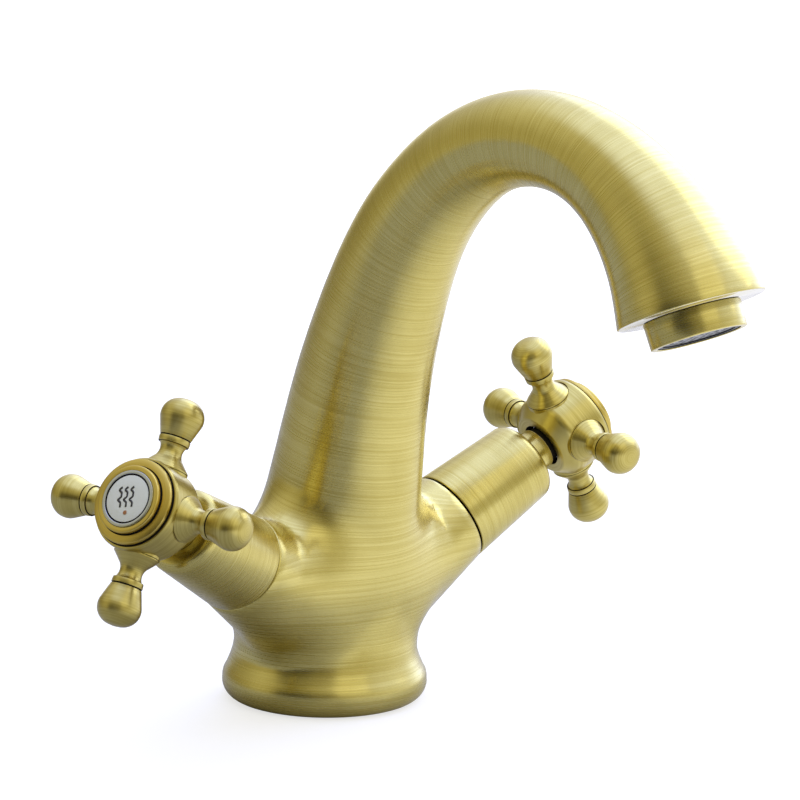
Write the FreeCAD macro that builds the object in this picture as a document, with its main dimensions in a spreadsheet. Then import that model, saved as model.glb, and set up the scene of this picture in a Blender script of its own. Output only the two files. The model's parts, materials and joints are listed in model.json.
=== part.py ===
import FreeCAD, Part
import math
import os

import Sketcher
from FreeCAD import Placement, Rotation, Vector

# A one-hole basin mixer with two cross handles. Lengths are millimetres, angles degrees.
# Origin: centre of the foot on the basin deck. +Z is up and the spout reaches towards -Y.
# Arm pieces are drawn in an arm frame: local Z runs outwards along the arm from the point
# where both arm axes meet, and a "station" is a distance along it.

SIZES = {
    # Foot
    "foot_radius": 27.0,
    "foot_ring_height": 9.4,
    "foot_land_radius": 22.3,
    "foot_waist_radius": 25.4,
    "foot_waist_height": 8.5,
    "foot_waist_bow": 0.45,
    "neck_start_radius": 23.6,
    "neck_start_height": 14.5,
    "underside_recess_radius": 17.5,
    "underside_recess_depth": 6.0,
    "seal_groove_radius": 18.8,
    "seal_width": 2.2,
    "seal_thickness": 1.6,
    # Column and swan neck: turns of its centre line and radius at the end of each turn
    "lean_turn_radius": 92.0,
    "lean_angle": 11.0,
    "column_length": 40.7,
    "rise_turn_radius": 203.0,
    "rise_angle": 25.0,
    "shoulder_turn_radius": 75.0,
    "shoulder_angle": 52.0,
    "crown_turn_radius": 45.5,
    "crown_angle": 125.0,
    "drop_turn_radius": 66.0,
    "outlet_angle": 156.8,
    "column_foot_radius": 22.4,
    "column_top_radius": 18.8,
    "rise_radius": 15.05,
    "shoulder_radius": 12.7,
    "crown_radius": 12.0,
    "drop_radius": 13.3,
    "rim_radius": 18.6,
    "rim_rounding": 0.4,
    "column_wall": 5.5,
    "waterway_radius": 8.0,
    # Arms
    "arm_origin_height": 22.0,
    "arm_tilt": 28.3,
    "arm_sweep": 10.5,
    "arm_root_station": 8.0,
    "arm_root_radius": 18.5,
    "arm_blend_radius": 11.0,
    "seam_station": 45.0,
    "seam_radius": 12.8,
    "seam_chamfer": 0.35,
    "arm_spigot_radius": 11.4,
    "arm_spigot_length": 1.8,
    "valve_bore_radius": 10.0,
    "valve_bore_floor": 28.0,
    "port_offset": 4.6,
    "port_radius": 2.4,
    "outlet_port_length": 10.0,
    "port_overrun": 1.0,
    "inlet_spacing": 17.0,
    "inlet_setback": 3.5,
    "inlet_radius": 4.5,
    "inlet_depth": 11.0,
    "stud_forward": 9.5,
    "stud_hole_radius": 3.4,
    "stud_hole_depth": 14.0,
    # Shrouds
    "seam_gap": 0.4,
    "shroud_end_station": 73.5,
    "shroud_end_radius": 11.0,
    "shroud_rounding": 2.8,
    "shroud_wide_bore_length": 6.6,
    "shroud_narrow_bore_radius": 9.3,
    "shroud_end_wall": 3.2,
    # Valve bodies and what they hold
    "fit_clearance": 0.05,
    "valve_flange_radius": 10.9,
    "valve_flange_thickness": 1.2,
    "valve_hexagon_flats": 18.0,
    "valve_hexagon_height": 3.3,
    "valve_neck_radius": 8.5,
    "valve_cage_wall": 1.2,
    "valve_cage_top": 37.9,
    "seat_seal_step": 1.0,
    "collar_radius": 5.7,
    "collar_shoulder_station": 78.3,
    "collar_nose_radius": 4.9,
    "collar_end_station": 81.0,
    "gasket_width": 1.1,
    "gasket_thickness": 1.5,
    "gasket_drop": 0.6,
    "seat_seal_thickness": 2.0,
    "fixed_disc_thickness": 2.6,
    "turning_disc_thickness": 2.6,
    "disc_film": 0.05,
    "disc_side_clearance": 0.3,
    "disc_slot_length": 13.4,
    "disc_slot_width": 3.6,
    "disc_slot_depth": 1.2,
    "drive_tang_length": 10.0,
    "drive_tang_width": 3.0,
    "drive_tang_depth": 0.9,
    # Spindles
    "spindle_radius": 4.0,
    "spindle_flange_radius": 7.6,
    "spindle_flange_thickness": 2.3,
    "spindle_ring_station": 58.0,
    "spindle_ring_thickness": 1.6,
    "spindle_ring_depth": 1.0,
    "clip_lift": 0.3,
    "clip_thickness": 0.8,
    "clip_groove_depth": 0.5,
    "clip_radius": 5.2,
    "clip_mouth": 4.0,
    "spline_radius": 3.7,
    "spline_count": 12,
    "spline_groove_radius": 0.45,
    "screw_radius": 2.0,
    "screw_length": 9.0,
    "screw_head_radius": 4.4,
    "screw_head_height": 2.2,
    "screw_socket_radius": 1.7,
    "screw_socket_depth": 1.3,
    # Handle hubs
    "hub_back_station": 79.5,
    "hub_back_radius": 8.6,
    "hub_radius": 12.0,
    "hub_front_station": 94.1,
    "hub_front_radius": 11.7,
    "hub_back_slope": 3.6,
    "hub_front_slope": 0.8,
    "hub_back_rounding": 3.0,
    "hub_front_rounding": 0.8,
    "hub_recess_radius": 6.15,
    "hub_recess_depth": 3.1,
    "hub_counterbore_radius": 8.2,
    "hub_counterbore_depth": 5.1,
    "hub_boss_root": 9.1,
    "spoke_station": 86.8,
    # Spokes, measured outwards from the hub's axis, with corners given before rounding
    "spoke_seat": 11.3,
    "spoke_foot_radius": 5.85,
    "spoke_foot_thickness": 0.3,
    "spoke_neck_radius": 2.15,
    "spoke_neck_height": 15.7,
    "spoke_neck_rounding": 3.4,
    "spoke_bead_radius": 4.25,
    "spoke_bead_start": 18.9,
    "spoke_bead_end": 19.4,
    "spoke_groove_radius": 3.9,
    "spoke_bulb_start": 19.7,
    "spoke_bulb_start_radius": 4.1,
    "spoke_bulb_radius": 6.1,
    "spoke_bulb_shoulder": 26.0,
    "spoke_cap_radius": 3.6,
    "spoke_cap_start": 29.3,
    "spoke_end": 29.9,
    "spoke_rounding": 4.0,
    "spoke_stud_radius": 1.9,
    "spoke_stud_length": 3.8,
    "hot_spoke_turn": -1.5,
    "cold_spoke_turn": 5.0,
    # Index caps
    "bezel_gap": 0.5,
    "bezel_spigot_length": 2.0,
    "bezel_spigot_wall": 1.4,
    "bezel_flange_radius": 10.9,
    "bezel_flange_thickness": 1.0,
    "bezel_step_radius": 9.6,
    "bezel_step_height": 0.5,
    "bezel_collar_radius": 8.75,
    "bezel_height": 3.0,
    "bezel_pocket_radius": 7.4,
    "bezel_pocket_depth": 1.5,
    "index_ring_width": 1.05,
    "index_ring_rise": 0.3,
    "index_button_crown": 0.3,
    # Aerator
    "outlet_spigot_radius": 10.9,
    "outlet_spigot_length": 3.2,
    "shell_radius": 12.2,
    "shell_end_radius": 12.0,
    "shell_length": 6.9,
    "shell_lip_thickness": 0.6,
    "shell_lip_radius": 10.4,
    "shell_rounding": 0.3,
    "aerator_seal_thickness": 1.0,
    "cartridge_flange_thickness": 1.0,
    "cartridge_wall": 1.4,
    "cartridge_lift": 0.3,
    "screen_thickness": 0.4,
    "screen_lift": 0.7,
    "screen_hole_radius": 0.7,
    "screen_ring_spacing": 2.3,
}

doc = FreeCAD.newDocument("CrossHandleTap")
sheet = doc.addObject("Spreadsheet::Sheet", "Sizes")
for row, (alias, value) in enumerate(SIZES.items(), 1):
    sheet.set(f"A{row}", alias)
    sheet.set(f"B{row}", str(value))
    sheet.setAlias(f"B{row}", alias)
doc.recompute()

pieces = []


class Size:
    """A value worked out from the sheet that keeps the formula it comes from."""

    def __init__(self, value, formula):
        self.value = value
        self.formula = formula

    def joined(self, other, sign, value):
        text = other.formula if isinstance(other, Size) else repr(other)
        return Size(value, f"({self.formula} {sign} {text})")

    def __add__(self, other):
        return self.joined(other, "+", self.value + plain(other))

    def __sub__(self, other):
        return self.joined(other, "-", self.value - plain(other))

    def __mul__(self, other):
        return self.joined(other, "*", self.value * plain(other))


def plain(number):
    """The bare number behind a Size, or the number itself."""
    return number.value if isinstance(number, Size) else float(number)


def size(alias):
    """One cell of the sheet."""
    return Size(float(sheet.get(alias)), f"Sizes.{alias}")


def mm(alias):
    """One cell of the sheet as a bare number."""
    return float(sheet.get(alias))


ZERO = Size(0.0, "0")


# ---------------------------------------------------------------- drawing turned pieces


def origin_feature(body, role):
    """One of a body's own base planes or axes, found by its role."""
    return next(f for f in body.Origin.OriginFeatures if f.Role == role)


def hold_point(sketch, line, x, y):
    """Fix the first point of a sketch line at (x, y), bound to the sheet."""
    for kind, axis, place in (("DistanceX", -2, x), ("DistanceY", -1, y)):
        if place is ZERO:
            sketch.addConstraint(Sketcher.Constraint("PointOnObject", line, 1, axis))
            continue
        index = sketch.addConstraint(Sketcher.Constraint(kind, -1, 1, line, 1, place.value))
        sketch.setExpression(f"Constraints[{index}]", place.formula)


def outline_sketch(body, name, corners, plane="XZ_Plane"):
    """A closed outline of straight lines through the corners, each an (x, y) of Sizes."""
    sketch = body.newObject("Sketcher::SketchObject", name)
    sketch.AttachmentSupport = [(origin_feature(body, plane), "")]
    sketch.MapMode = "FlatFace"
    points = [Vector(x.value, y.value, 0) for x, y in corners]
    for start, end in zip(points, points[1:] + points[:1]):
        sketch.addGeometry(Part.LineSegment(start, end), False)
    for line in range(len(corners)):
        following = (line + 1) % len(corners)
        sketch.addConstraint(Sketcher.Constraint("Coincident", line, 2, following, 1))
    for line, (x, y) in enumerate(corners):
        hold_point(sketch, line, x, y)
    return sketch


def turned(label, corners, placement):
    """A piece turned on a lathe: (radius, height) corners spun about local Z."""
    body = doc.addObject("PartDesign::Body", label)
    body.Label = label
    sketch = outline_sketch(body, label + "_outline", corners)
    spin = body.newObject("PartDesign::Revolution", label + "_turning")
    spin.Profile = sketch
    spin.ReferenceAxis = (sketch, ["V_Axis"])
    spin.Angle = 360.0
    body.Placement = placement
    pieces.append(body)
    doc.recompute()
    return body


def tube_corners(inner, outer, low, high):
    """The outline of a plain ring or, with no bore, of a plain disc."""
    return [(inner, low), (outer, low), (outer, high), (inner, high)]


def ring_edges(body, radius, height):
    """The names of the round edges of one radius at one height."""
    shape = body.Tip.Shape
    found = []
    for number, edge in enumerate(shape.Edges, 1):
        if not isinstance(edge.Curve, Part.Circle):
            continue
        same_radius = abs(edge.Curve.Radius - plain(radius)) < 1e-4
        if same_radius and abs(edge.Curve.Center.z - plain(height)) < 1e-4:
            found.append(f"Edge{number}")
    return found


def rounded(body, radius, places, kind="Fillet"):
    """Round, or with kind Chamfer bevel, the turned edges at (radius, height) places."""
    base = body.Tip
    names = []
    for place in places:
        names += ring_edges(body, *place)
    feature = body.newObject("PartDesign::" + kind, f"{body.Label}_{kind.lower()}")
    feature.Base = (base, names)
    feature.setExpression("Radius" if kind == "Fillet" else "Size", radius.formula)
    body.Tip = feature
    doc.recompute()


def shaped(body, kind, name, offset, lift, **bound):
    """Add or cut a primitive of a body, moved by offset and lifted to a height."""
    feature = body.newObject("PartDesign::" + kind, f"{body.Label}_{name}")
    feature.AttachmentSupport = [(origin_feature(body, "XY_Plane"), "")]
    feature.MapMode = "FlatFace"
    feature.AttachmentOffset = offset
    feature.setExpression("AttachmentOffset.Base.z", lift.formula)
    for key, length in bound.items():
        feature.setExpression(key, length.formula)
    body.Tip = feature
    doc.recompute()
    return feature


def repeated(body, feature, count):
    """Repeat one feature of a body evenly about its local Z axis."""
    pattern = body.newObject("PartDesign::PolarPattern", feature.Name + "_pattern")
    pattern.Originals = [feature]
    pattern.Axis = (origin_feature(body, "Z_Axis"), [""])
    pattern.Angle = 360.0
    if isinstance(count, Size):
        pattern.setExpression("Occurrences", count.formula)
    else:
        pattern.Occurrences = count
    body.Tip = pattern
    doc.recompute()


# ---------------------------------------------------------------- frames of the assembly


def arm_frame(side):
    """Placement of an arm: side -1 is the hot arm, +1 the cold one."""
    tilt = math.radians(mm("arm_tilt"))
    sweep = math.radians(mm("arm_sweep"))
    out = Vector(
        side * math.cos(tilt) * math.cos(sweep),
        -math.cos(tilt) * math.sin(sweep),
        math.sin(tilt),
    )
    across = Vector(0, 0, 1).cross(out).normalize()
    up = out.cross(across)
    turn = Rotation(up, across, out, "ZXY")
    return Placement(Vector(0, 0, mm("arm_origin_height")), turn)


def neck_path(steps):
    """Points of the neck's centre line: (centre, direction, length so far, leg)."""
    legs = [
        (mm("lean_turn_radius"), mm("lean_angle")),
        (None, mm("column_length")),
        (mm("rise_turn_radius"), mm("rise_angle")),
        (mm("shoulder_turn_radius"), mm("shoulder_angle")),
        (mm("crown_turn_radius"), mm("crown_angle")),
        (mm("drop_turn_radius"), mm("outlet_angle")),
    ]
    y = 0.0
    z = mm("neck_start_height")
    angle = 0.0
    length = 0.0
    path = [(Vector(0, y, z), Vector(0, 0, 1), length, 0)]
    for leg, (radius, target) in enumerate(legs):
        turn = 0.0 if radius is None else math.radians(target) - angle
        stride = (target if radius is None else radius * turn) / steps
        for _ in range(steps):
            angle += turn / steps / 2
            chord = stride if radius is None else 2 * radius * math.sin(turn / steps / 2)
            y -= chord * math.sin(angle)
            z += chord * math.cos(angle)
            angle += turn / steps / 2
            length += stride
            heading = Vector(0, -math.sin(angle), math.cos(angle))
            path.append((Vector(0, y, z), heading, length, leg))
    return path


def smooth_value(marks, place):
    """A smooth curve through (place, value) marks, read at one place."""
    last = len(marks) - 1
    slopes = []
    for k in range(len(marks)):
        before = marks[max(k - 1, 0)]
        after = marks[min(k + 1, last)]
        slopes.append((after[1] - before[1]) / (after[0] - before[0]))
    k = max(j for j in range(last) if place >= marks[j][0] - 1e-9)
    span = marks[k + 1][0] - marks[k][0]
    u = (place - marks[k][0]) / span
    start = marks[k][1] * (1 + 2 * u) * (1 - u) ** 2
    end = marks[k + 1][1] * u * u * (3 - 2 * u)
    bend = slopes[k] * u * (1 - u) ** 2 - slopes[k + 1] * u * u * (1 - u)
    return start + end + span * bend


NECK_STEPS = 3
neck = neck_path(NECK_STEPS)
leg_ends = [0.0] + [neck[NECK_STEPS * leg][2] for leg in range(1, 7)]
crown_middle = (leg_ends[4] + leg_ends[5]) / 2
rim_centre, rim_heading = neck[-1][0], neck[-1][1]
outlet_frame = Placement(rim_centre, Rotation(Vector(1, 0, 0), Vector(), rim_heading, "ZXY"))


# ---------------------------------------------------------------- mixer body, one casting


def neck_loft(marks, first):
    """A loft through circles along the neck from one of its points to the rim."""
    rings = []
    for centre, heading, length, _ in neck[first:]:
        ring = Part.makeCircle(smooth_value(marks, length))
        ring.rotate(Vector(), Vector(0, 0, 1), 90)
        lean = math.degrees(math.atan2(-heading.y, heading.z))
        ring.rotate(Vector(), Vector(1, 0, 0), lean)
        ring.translate(centre)
        rings.append(Part.Wire([ring]))
    return Part.makeLoft(rings, True, False)


def neck_skin():
    """The outside of the column and swan neck."""
    radii = ["neck_start_radius", "column_foot_radius", "column_top_radius", "rise_radius"]
    radii += ["shoulder_radius", "drop_radius", "rim_radius"]
    marks = [(end, mm(alias)) for end, alias in zip(leg_ends, radii)]
    marks.insert(5, (crown_middle, mm("crown_radius")))
    return neck_loft(marks, 0)


def waterway():
    """The cast hollow: the mixing chamber in the column, then the narrower neck passage."""
    chamber = ["neck_start_radius", "column_foot_radius", "column_top_radius", "rise_radius"]
    marks = [(end, mm(alias) - mm("column_wall")) for end, alias in zip(leg_ends, chamber)]
    marks += [(end, mm("waterway_radius")) for end in leg_ends[4:]]
    return neck_loft(marks, NECK_STEPS)


def foot_solid():
    """The foot: a rounded ring under a concave waist that runs into the column."""
    ring = mm("foot_ring_height") / 2
    land = Vector(0, mm("foot_land_radius"), 0)
    widest = Vector(0, mm("foot_radius"), ring)
    waist = Vector(0, mm("foot_waist_radius"), mm("foot_waist_height"))
    top = Vector(0, mm("neck_start_radius"), mm("neck_start_height"))
    reach = widest.y - land.y
    half = math.sqrt(0.5)
    low_middle = Vector(0, land.y + reach * half, ring * (1 - half))
    bow = Vector(0, mm("foot_waist_bow"), 0)
    high_middle = (widest + waist) * 0.5 + bow
    hollow_middle = (waist + top) * 0.5 - bow
    outline = [
        Part.makeLine(Vector(), land),
        Part.Arc(land, low_middle, widest).toShape(),
        Part.Arc(widest, high_middle, waist).toShape(),
        Part.Arc(waist, hollow_middle, top).toShape(),
        Part.makeLine(top, Vector(0, 0, top.z)),
        Part.makeLine(Vector(0, 0, top.z), Vector()),
    ]
    return Part.Face(Part.Wire(outline)).revolve(Vector(), Vector(0, 0, 1), 360)


def in_arm(shape, side):
    """Move a shape drawn in the arm frame to its arm."""
    shape.Placement = arm_frame(side).multiply(shape.Placement)
    return shape


def arm_solid(side):
    """The tapering arm, outside only."""
    low = mm("arm_root_station")
    high = mm("seam_station")
    arm = Part.makeCone(mm("arm_root_radius"), mm("seam_radius"), high - low, Vector(0, 0, low))
    return in_arm(arm, side)


def seam_bevel(side):
    """What the fine bevel takes off the outer edge of an arm's seam face."""
    reach = mm("seam_chamfer")
    radius = mm("seam_radius")
    low = Vector(0, 0, mm("seam_station") - 2 * reach)
    ring = Part.makeCylinder(radius + 2 * reach, 2 * reach, low)
    kept = Part.makeCone(radius + reach, radius - reach, 2 * reach, low)
    return in_arm(ring.cut(kept), side)


def arm_roots(shape):
    """The edges where the arms leave the column: between the foot and the seams."""
    found = []
    for edge in shape.Edges:
        box = edge.BoundBox
        beside = box.XMin > 1 or box.XMax < -1
        above_foot = box.ZMin > mm("neck_start_height")
        near_column = box.YMin > -mm("foot_radius")
        if isinstance(edge.Curve, Part.BSplineCurve) and beside and above_foot and near_column:
            found.append(edge)
    return found


def arm_spigot(side):
    """The short turned spigot past the seam that centres the shroud."""
    length = mm("arm_spigot_length")
    spigot = Part.makeCylinder(mm("arm_spigot_radius"), length, Vector(0, 0, mm("seam_station")))
    return in_arm(spigot, side)


def arm_hollows(side):
    """The valve bore, its upper port into the column and the drilling down to the inlet."""
    floor = mm("valve_bore_floor")
    mouth = mm("seam_station") + mm("arm_spigot_length")
    bore = Part.makeCylinder(mm("valve_bore_radius"), mouth - floor, Vector(0, 0, floor))
    drop = mm("outlet_port_length")
    port = Vector(mm("port_offset"), 0, floor - drop)
    outlet = Part.makeCylinder(mm("port_radius"), drop + mm("port_overrun"), port)
    inlet_seat = Vector(-mm("port_offset"), 0, floor + mm("port_overrun"))
    inlet_seat = arm_frame(side).multVec(inlet_seat)
    inlet_top = inlet_centre(side) + Vector(0, 0, mm("inlet_depth") - mm("port_radius"))
    drilling = inlet_seat - inlet_top
    passage = Part.makeCylinder(mm("port_radius"), drilling.Length, inlet_top, drilling)
    inlet = Part.makeCylinder(mm("inlet_radius"), mm("inlet_depth"), inlet_centre(side))
    return [in_arm(bore, side), in_arm(outlet, side), passage, inlet]


def inlet_centre(side):
    """Mouth of one threaded inlet, in the roof of the underside recess."""
    spread = mm("inlet_spacing") / 2
    return Vector(side * spread, mm("inlet_setback"), mm("underside_recess_depth"))


def foot_hollows():
    """The recess, the seal's groove and the fixing stud's hole in the underside."""
    recess = Part.makeCylinder(mm("underside_recess_radius"), mm("underside_recess_depth"))
    groove_radius = mm("seal_groove_radius")
    groove = Part.makeCylinder(groove_radius + mm("seal_width"), mm("seal_thickness"))
    groove = groove.cut(Part.makeCylinder(groove_radius, mm("seal_thickness")))
    stud = Vector(0, -mm("stud_forward"), mm("underside_recess_depth"))
    stud_hole = Part.makeCylinder(mm("stud_hole_radius"), mm("stud_hole_depth"), stud)
    return [recess, groove, stud_hole]


def outlet_spigot():
    """The threaded spigot under the rim that carries the aerator."""
    spigot = Part.makeCylinder(mm("outlet_spigot_radius"), mm("outlet_spigot_length"))
    spigot = spigot.cut(Part.makeCylinder(mm("waterway_radius"), mm("outlet_spigot_length")))
    spigot.Placement = outlet_frame
    return spigot


def rim_edges(shape):
    """The outer edge of the spout's rim."""
    girth = 2 * math.pi * mm("rim_radius")
    return [
        edge
        for edge in shape.Edges
        if edge.CenterOfMass.distanceToPoint(rim_centre) < 0.1
        and abs(edge.Length - girth) < 0.01 * girth
    ]


def mixer_body():
    """The casting: foot, column, arms and neck in one, then everything cut into it."""
    outside = neck_skin().fuse(foot_solid()).removeSplitter()
    outside = outside.fuse([arm_solid(-1), arm_solid(1)]).removeSplitter()
    outside = outside.makeFillet(mm("arm_blend_radius"), arm_roots(outside))
    outside = outside.makeFillet(mm("rim_rounding"), rim_edges(outside))
    outside = outside.cut([seam_bevel(-1), seam_bevel(1)])
    whole = outside.fuse([arm_spigot(-1), arm_spigot(1), outlet_spigot()])
    cuts = [waterway()] + foot_hollows() + arm_hollows(-1) + arm_hollows(1)
    return whole.cut(cuts).removeSplitter()


body_feature = doc.addObject("Part::Feature", "mixer_body")
body_feature.Label = "mixer_body"
casting = mixer_body()
body_feature.Shape = casting.Solids[0] if len(casting.Solids) == 1 else casting
pieces.append(body_feature)


# ---------------------------------------------------------------- under the foot

AT_ORIGIN = Placement()
seal_inner = size("seal_groove_radius")
seal_corners = tube_corners(
    seal_inner, seal_inner + size("seal_width"), ZERO, size("seal_thickness")
)
turned("base_seal", seal_corners, AT_ORIGIN)


# ---------------------------------------------------------------- aerator, down from the rim

spigot_end = size("outlet_spigot_length")
shell_bore = size("outlet_spigot_radius") + size("fit_clearance")
shell_end = size("shell_length")
lip_top = shell_end - size("shell_lip_thickness")
seal_end = spigot_end + size("aerator_seal_thickness")
cartridge_radius = shell_bore - size("fit_clearance")
cartridge_bore = size("shell_lip_radius") - size("cartridge_wall")
cartridge_end = shell_end - size("cartridge_lift")


def aerator_shell():
    """The turned shell screwed over the outlet spigot, with a lip that holds the cartridge."""
    top = size("seam_gap") * 0.5
    outside = size("shell_radius")
    low_outside = size("shell_end_radius")
    lip = size("shell_lip_radius")
    corners = [(shell_bore, top), (outside, top), (low_outside, shell_end), (lip, shell_end)]
    corners += [(lip, lip_top), (shell_bore, lip_top)]
    shell = turned("aerator_shell", corners, outlet_frame)
    rounded(shell, size("shell_rounding"), [(low_outside, shell_end)])


def aerator_cartridge():
    """The plastic insert: a flange under the washer and a wall round the screen."""
    flange_end = seal_end + size("cartridge_flange_thickness")
    wall = cartridge_bore + size("cartridge_wall") - size("fit_clearance") * 2
    corners = [(cartridge_bore, seal_end), (cartridge_radius, seal_end)]
    corners += [(cartridge_radius, flange_end), (wall, flange_end)]
    corners += [(wall, cartridge_end), (cartridge_bore, cartridge_end)]
    turned("aerator_cartridge", corners, outlet_frame)


def aerator_screen():
    """The steel outlet screen, pierced with three rings of holes."""
    low = cartridge_end - size("screen_lift")
    edge = cartridge_bore - size("fit_clearance")
    plate = tube_corners(ZERO, edge, low, low + size("screen_thickness"))
    screen = turned("aerator_screen", plate, outlet_frame)
    spacing = size("screen_ring_spacing")
    for ring in (1, 2, 3):
        place = Placement(Vector((spacing * ring).value, 0, 0), Rotation())
        hole = shaped(
            screen,
            "SubtractiveCylinder",
            f"hole_{ring}",
            place,
            low,
            Radius=size("screen_hole_radius"),
            Height=size("screen_thickness"),
        )
        hole.setExpression("AttachmentOffset.Base.x", (spacing * ring).formula)
        repeated(screen, hole, 6 * ring)


aerator_shell()
washer = tube_corners(size("waterway_radius"), cartridge_radius, spigot_end, seal_end)
turned("aerator_washer", washer, outlet_frame)
aerator_cartridge()
aerator_screen()


# ---------------------------------------------------------------- shrouds

seam = size("seam_station")
spigot_top = seam + size("arm_spigot_length")
shroud_base = seam + size("seam_gap")
shroud_end = size("shroud_end_station")
shroud_floor = shroud_end - size("shroud_end_wall")
clearance = size("fit_clearance")


def shroud(name, frame):
    """The turned sleeve over the valve: it centres on the arm's spigot and on the collar."""
    wide = size("arm_spigot_radius") + clearance
    narrow = size("shroud_narrow_bore_radius")
    step = shroud_base + size("shroud_wide_bore_length")
    hole = size("collar_radius") + clearance
    corners = [
        (wide, shroud_base),
        (size("seam_radius"), shroud_base),
        (size("shroud_end_radius"), shroud_end),
        (hole, shroud_end),
        (hole, shroud_floor),
        (narrow, shroud_floor),
        (narrow, step),
        (wide, step),
    ]
    sleeve = turned(name, corners, frame)
    rounded(sleeve, size("shroud_rounding"), [(size("shroud_end_radius"), shroud_end)])
    rounded(sleeve, size("seam_chamfer"), [(size("seam_radius"), shroud_base)], "Chamfer")


# ---------------------------------------------------------------- valve bodies and discs

bore_floor = size("valve_bore_floor")
barrel_radius = size("valve_bore_radius") - clearance
barrel_low = bore_floor + size("seat_seal_step")
cage_radius = barrel_radius - size("valve_cage_wall")
cage_top = size("valve_cage_top")
disc_radius = cage_radius - clearance
seal_top = bore_floor + size("seat_seal_thickness")
fixed_top = seal_top + size("fixed_disc_thickness")
turning_low = fixed_top + size("disc_film")
turning_top = turning_low + size("turning_disc_thickness")
gasket_top = seam - size("gasket_drop")
gasket_low = gasket_top - size("gasket_thickness")
gasket_inner = barrel_radius - size("gasket_width")
collar_end = size("collar_end_station")
spindle_bore = size("spindle_radius") + clearance


def valve_body(name, frame):
    """The brass headwork: barrel and disc cage, flange, hexagon, neck and collar."""
    flange_top = spigot_top + size("valve_flange_thickness")
    hexagon_top = flange_top + size("valve_hexagon_height")
    corners = [
        (cage_radius, barrel_low),
        (barrel_radius, barrel_low),
        (barrel_radius, gasket_low),
        (gasket_inner, gasket_low),
        (gasket_inner, gasket_top),
        (barrel_radius, gasket_top),
        (barrel_radius, spigot_top),
        (size("valve_flange_radius"), spigot_top),
        (size("valve_flange_radius"), flange_top),
        (size("valve_neck_radius"), flange_top),
        (size("valve_neck_radius"), shroud_floor),
        (size("collar_radius"), shroud_floor),
        (size("collar_radius"), size("collar_shoulder_station")),
        (size("collar_nose_radius"), size("collar_shoulder_station")),
        (size("collar_nose_radius"), collar_end),
        (spindle_bore, collar_end),
        (spindle_bore, cage_top),
        (cage_radius, cage_top),
    ]
    valve = turned(name, corners, frame)
    flats_to_corner = 0.5 / math.cos(math.radians(30))
    shaped(
        valve,
        "AdditivePrism",
        "hexagon",
        Placement(),
        flange_top,
        Circumradius=size("valve_hexagon_flats") * flats_to_corner,
        Height=size("valve_hexagon_height"),
    )
    shaped(
        valve,
        "SubtractiveCylinder",
        "spindle_bore",
        Placement(),
        flange_top,
        Radius=spindle_bore,
        Height=hexagon_top - flange_top,
    )


def ported_disc(name, frame, low, thickness):
    """A flat disc in the valve's cage with the inlet and outlet ports through it."""
    disc = turned(name, tube_corners(ZERO, disc_radius, low, low + thickness), frame)
    port = shaped(
        disc,
        "SubtractiveCylinder",
        "port",
        Placement(Vector(mm("port_offset"), 0, 0), Rotation()),
        low,
        Radius=size("port_radius"),
        Height=thickness,
    )
    port.setExpression("AttachmentOffset.Base.x", size("port_offset").formula)
    repeated(disc, port, 2)


def centred_box(body, kind, name, low, length_x, length_y, height):
    """A box feature centred on a body's axis, standing on the height low."""
    box = shaped(
        body, kind, name, Placement(), low, Length=length_x, Width=length_y, Height=height
    )
    box.setExpression("AttachmentOffset.Base.x", (length_x * -0.5).formula)
    box.setExpression("AttachmentOffset.Base.y", (length_y * -0.5).formula)
    doc.recompute()


def turning_disc(name, frame):
    """The upper ceramic disc: its slot joins the two ports after a quarter turn."""
    radius = cage_radius - size("disc_side_clearance")
    disc = turned(name, tube_corners(ZERO, radius, turning_low, turning_top), frame)
    centred_box(
        disc,
        "SubtractiveBox",
        "port_slot",
        turning_low,
        size("disc_slot_width"),
        size("disc_slot_length"),
        size("disc_slot_depth"),
    )
    tang_depth = size("drive_tang_depth") + clearance
    centred_box(
        disc,
        "SubtractiveBox",
        "drive_slot",
        turning_top - tang_depth,
        size("drive_tang_length") + clearance * 2,
        size("drive_tang_width") + clearance * 2,
        tang_depth,
    )


# ---------------------------------------------------------------- spindles

hub_seat = size("hub_back_station") + size("hub_recess_depth")
counterbore_floor = size("hub_front_station") - size("hub_counterbore_depth")
spline_end = counterbore_floor - clearance * 4
clip_low = collar_end + size("clip_lift")
clip_top = clip_low + size("clip_thickness")
ring_low = size("spindle_ring_station")
ring_top = ring_low + size("spindle_ring_thickness")
screw_bore = size("screw_radius") + clearance


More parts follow.
